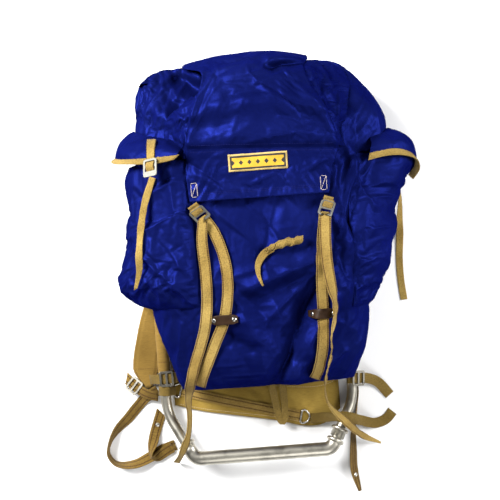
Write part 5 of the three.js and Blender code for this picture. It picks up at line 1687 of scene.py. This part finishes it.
def build_patch():
    u, v = np.meshgrid(np.linspace(0, 1, 50), np.linspace(0, 1, 16))
    x = PATCH["left"] + (PATCH["right"] - PATCH["left"]) * u
    y = PATCH["low"] + (PATCH["high"] - PATCH["low"]) * v
    z = np.array([height(["lid"], *spot) for spot in zip(x.ravel(), y.ravel())]).reshape(x.shape)
    for _ in range(3):
        z[1:-1, 1:-1] = (z[:-2, 1:-1] + z[2:, 1:-1] + z[1:-1, :-2] + z[1:-1, 2:]) / 4
    points = np.stack([x, y, z + 0.9], -1).reshape(-1, 3)
    uv = np.stack([u, v], -1).reshape(-1, 2)
    obj = dress(new_mesh("label_patch", points, grid_faces(*u.shape), LABEL, uv), "label", "patch")
    wall = obj.modifiers.new("wall", "SOLIDIFY")
    wall.thickness = PATCH["thick"] / 1000
    wall.offset = 0


# Stage
CAMERA_HEIGHT = 1.6
FOCAL = 855.6  # focal length in pixels of the 500-pixel square
ROLL = math.radians(-4.3)


def aim(obj, place, target):
    obj.location = place
    obj.rotation_mode = "QUATERNION"
    obj.rotation_quaternion = (Vector(target) - Vector(place)).to_track_quat("-Z", "Y")
    bpy.context.scene.collection.objects.link(obj)


def soft_light(name, place, size, power):
    light = bpy.data.lights.new(name, "AREA")
    light.size = size
    light.energy = power
    aim(bpy.data.objects.new(name, light), place, (0, 0, 0.1))


def soft_sky(strength):
    """A studio ceiling: white overhead and dim towards the horizon."""
    world = bpy.data.worlds.new("studio")
    world.use_nodes = True
    tree = world.node_tree
    direction = tree.nodes.new("ShaderNodeTexCoord")
    split = tree.nodes.new("ShaderNodeSeparateXYZ")
    ramp = tree.nodes.new("ShaderNodeValToRGB")
    ramp.color_ramp.elements[0].color = (0.1, 0.1, 0.1, 1)
    ramp.color_ramp.elements[1].position = 0.7
    tree.links.new(direction.outputs["Generated"], split.inputs[0])
    tree.links.new(split.outputs["Z"], ramp.inputs["Fac"])
    sky = tree.nodes["Background"]
    tree.links.new(ramp.outputs["Color"], sky.inputs["Color"])
    sky.inputs["Strength"].default_value = strength
    return world


def build_stage():
    camera = bpy.data.cameras.new("camera")
    camera.sensor_width = 36
    camera.lens = FOCAL / 500 * camera.sensor_width
    obj = bpy.data.objects.new("camera", camera)
    obj.location = (*metres((0, 0, 0))[:2], CAMERA_HEIGHT)
    obj.rotation_euler = (0, 0, ROLL)
    bpy.context.scene.collection.objects.link(obj)
    bpy.context.scene.camera = obj

    look = Look("pale_floor", Roughness=0.85)
    look.link("Base Color", look.grey(look.noise(look.place(), 3.0), [(0.3, 0.88), (0.7, 0.92)]))
    mesh = bpy.data.meshes.new("floor")
    mesh.from_pydata([(-6, -6, 0), (6, -6, 0), (6, 6, 0), (-6, 6, 0)], [], [[0, 1, 2, 3]])
    mesh.materials.append(look.material)
    floor = bpy.data.objects.new("floor", mesh)
    bpy.context.scene.collection.objects.link(floor)

    soft_light("key", (-1.5, 1.15, 1.45), 0.8, 132)
    soft_light("side", (1.7, 0.3, 1.2), 0.9, 46)
    soft_light("fill", (0.3, -1.6, 1.6), 1.2, 18)
    bpy.context.scene.world = soft_sky(0.2)
    bpy.context.scene.view_settings.view_transform = "Standard"


build_stage()
build_frame()
build_foot()
build_sack()
for pocket_side in ("left", "right"):
    build_pocket(pocket_side)
    build_flap(pocket_side)
build_lid()
build_shoulders()
build_upright_sleeve()
build_band()
build_harness()
for strap_side in ("left", "right"):
    build_lid_strap(strap_side)
build_small_straps()
build_patch()
build_lid_stitches()
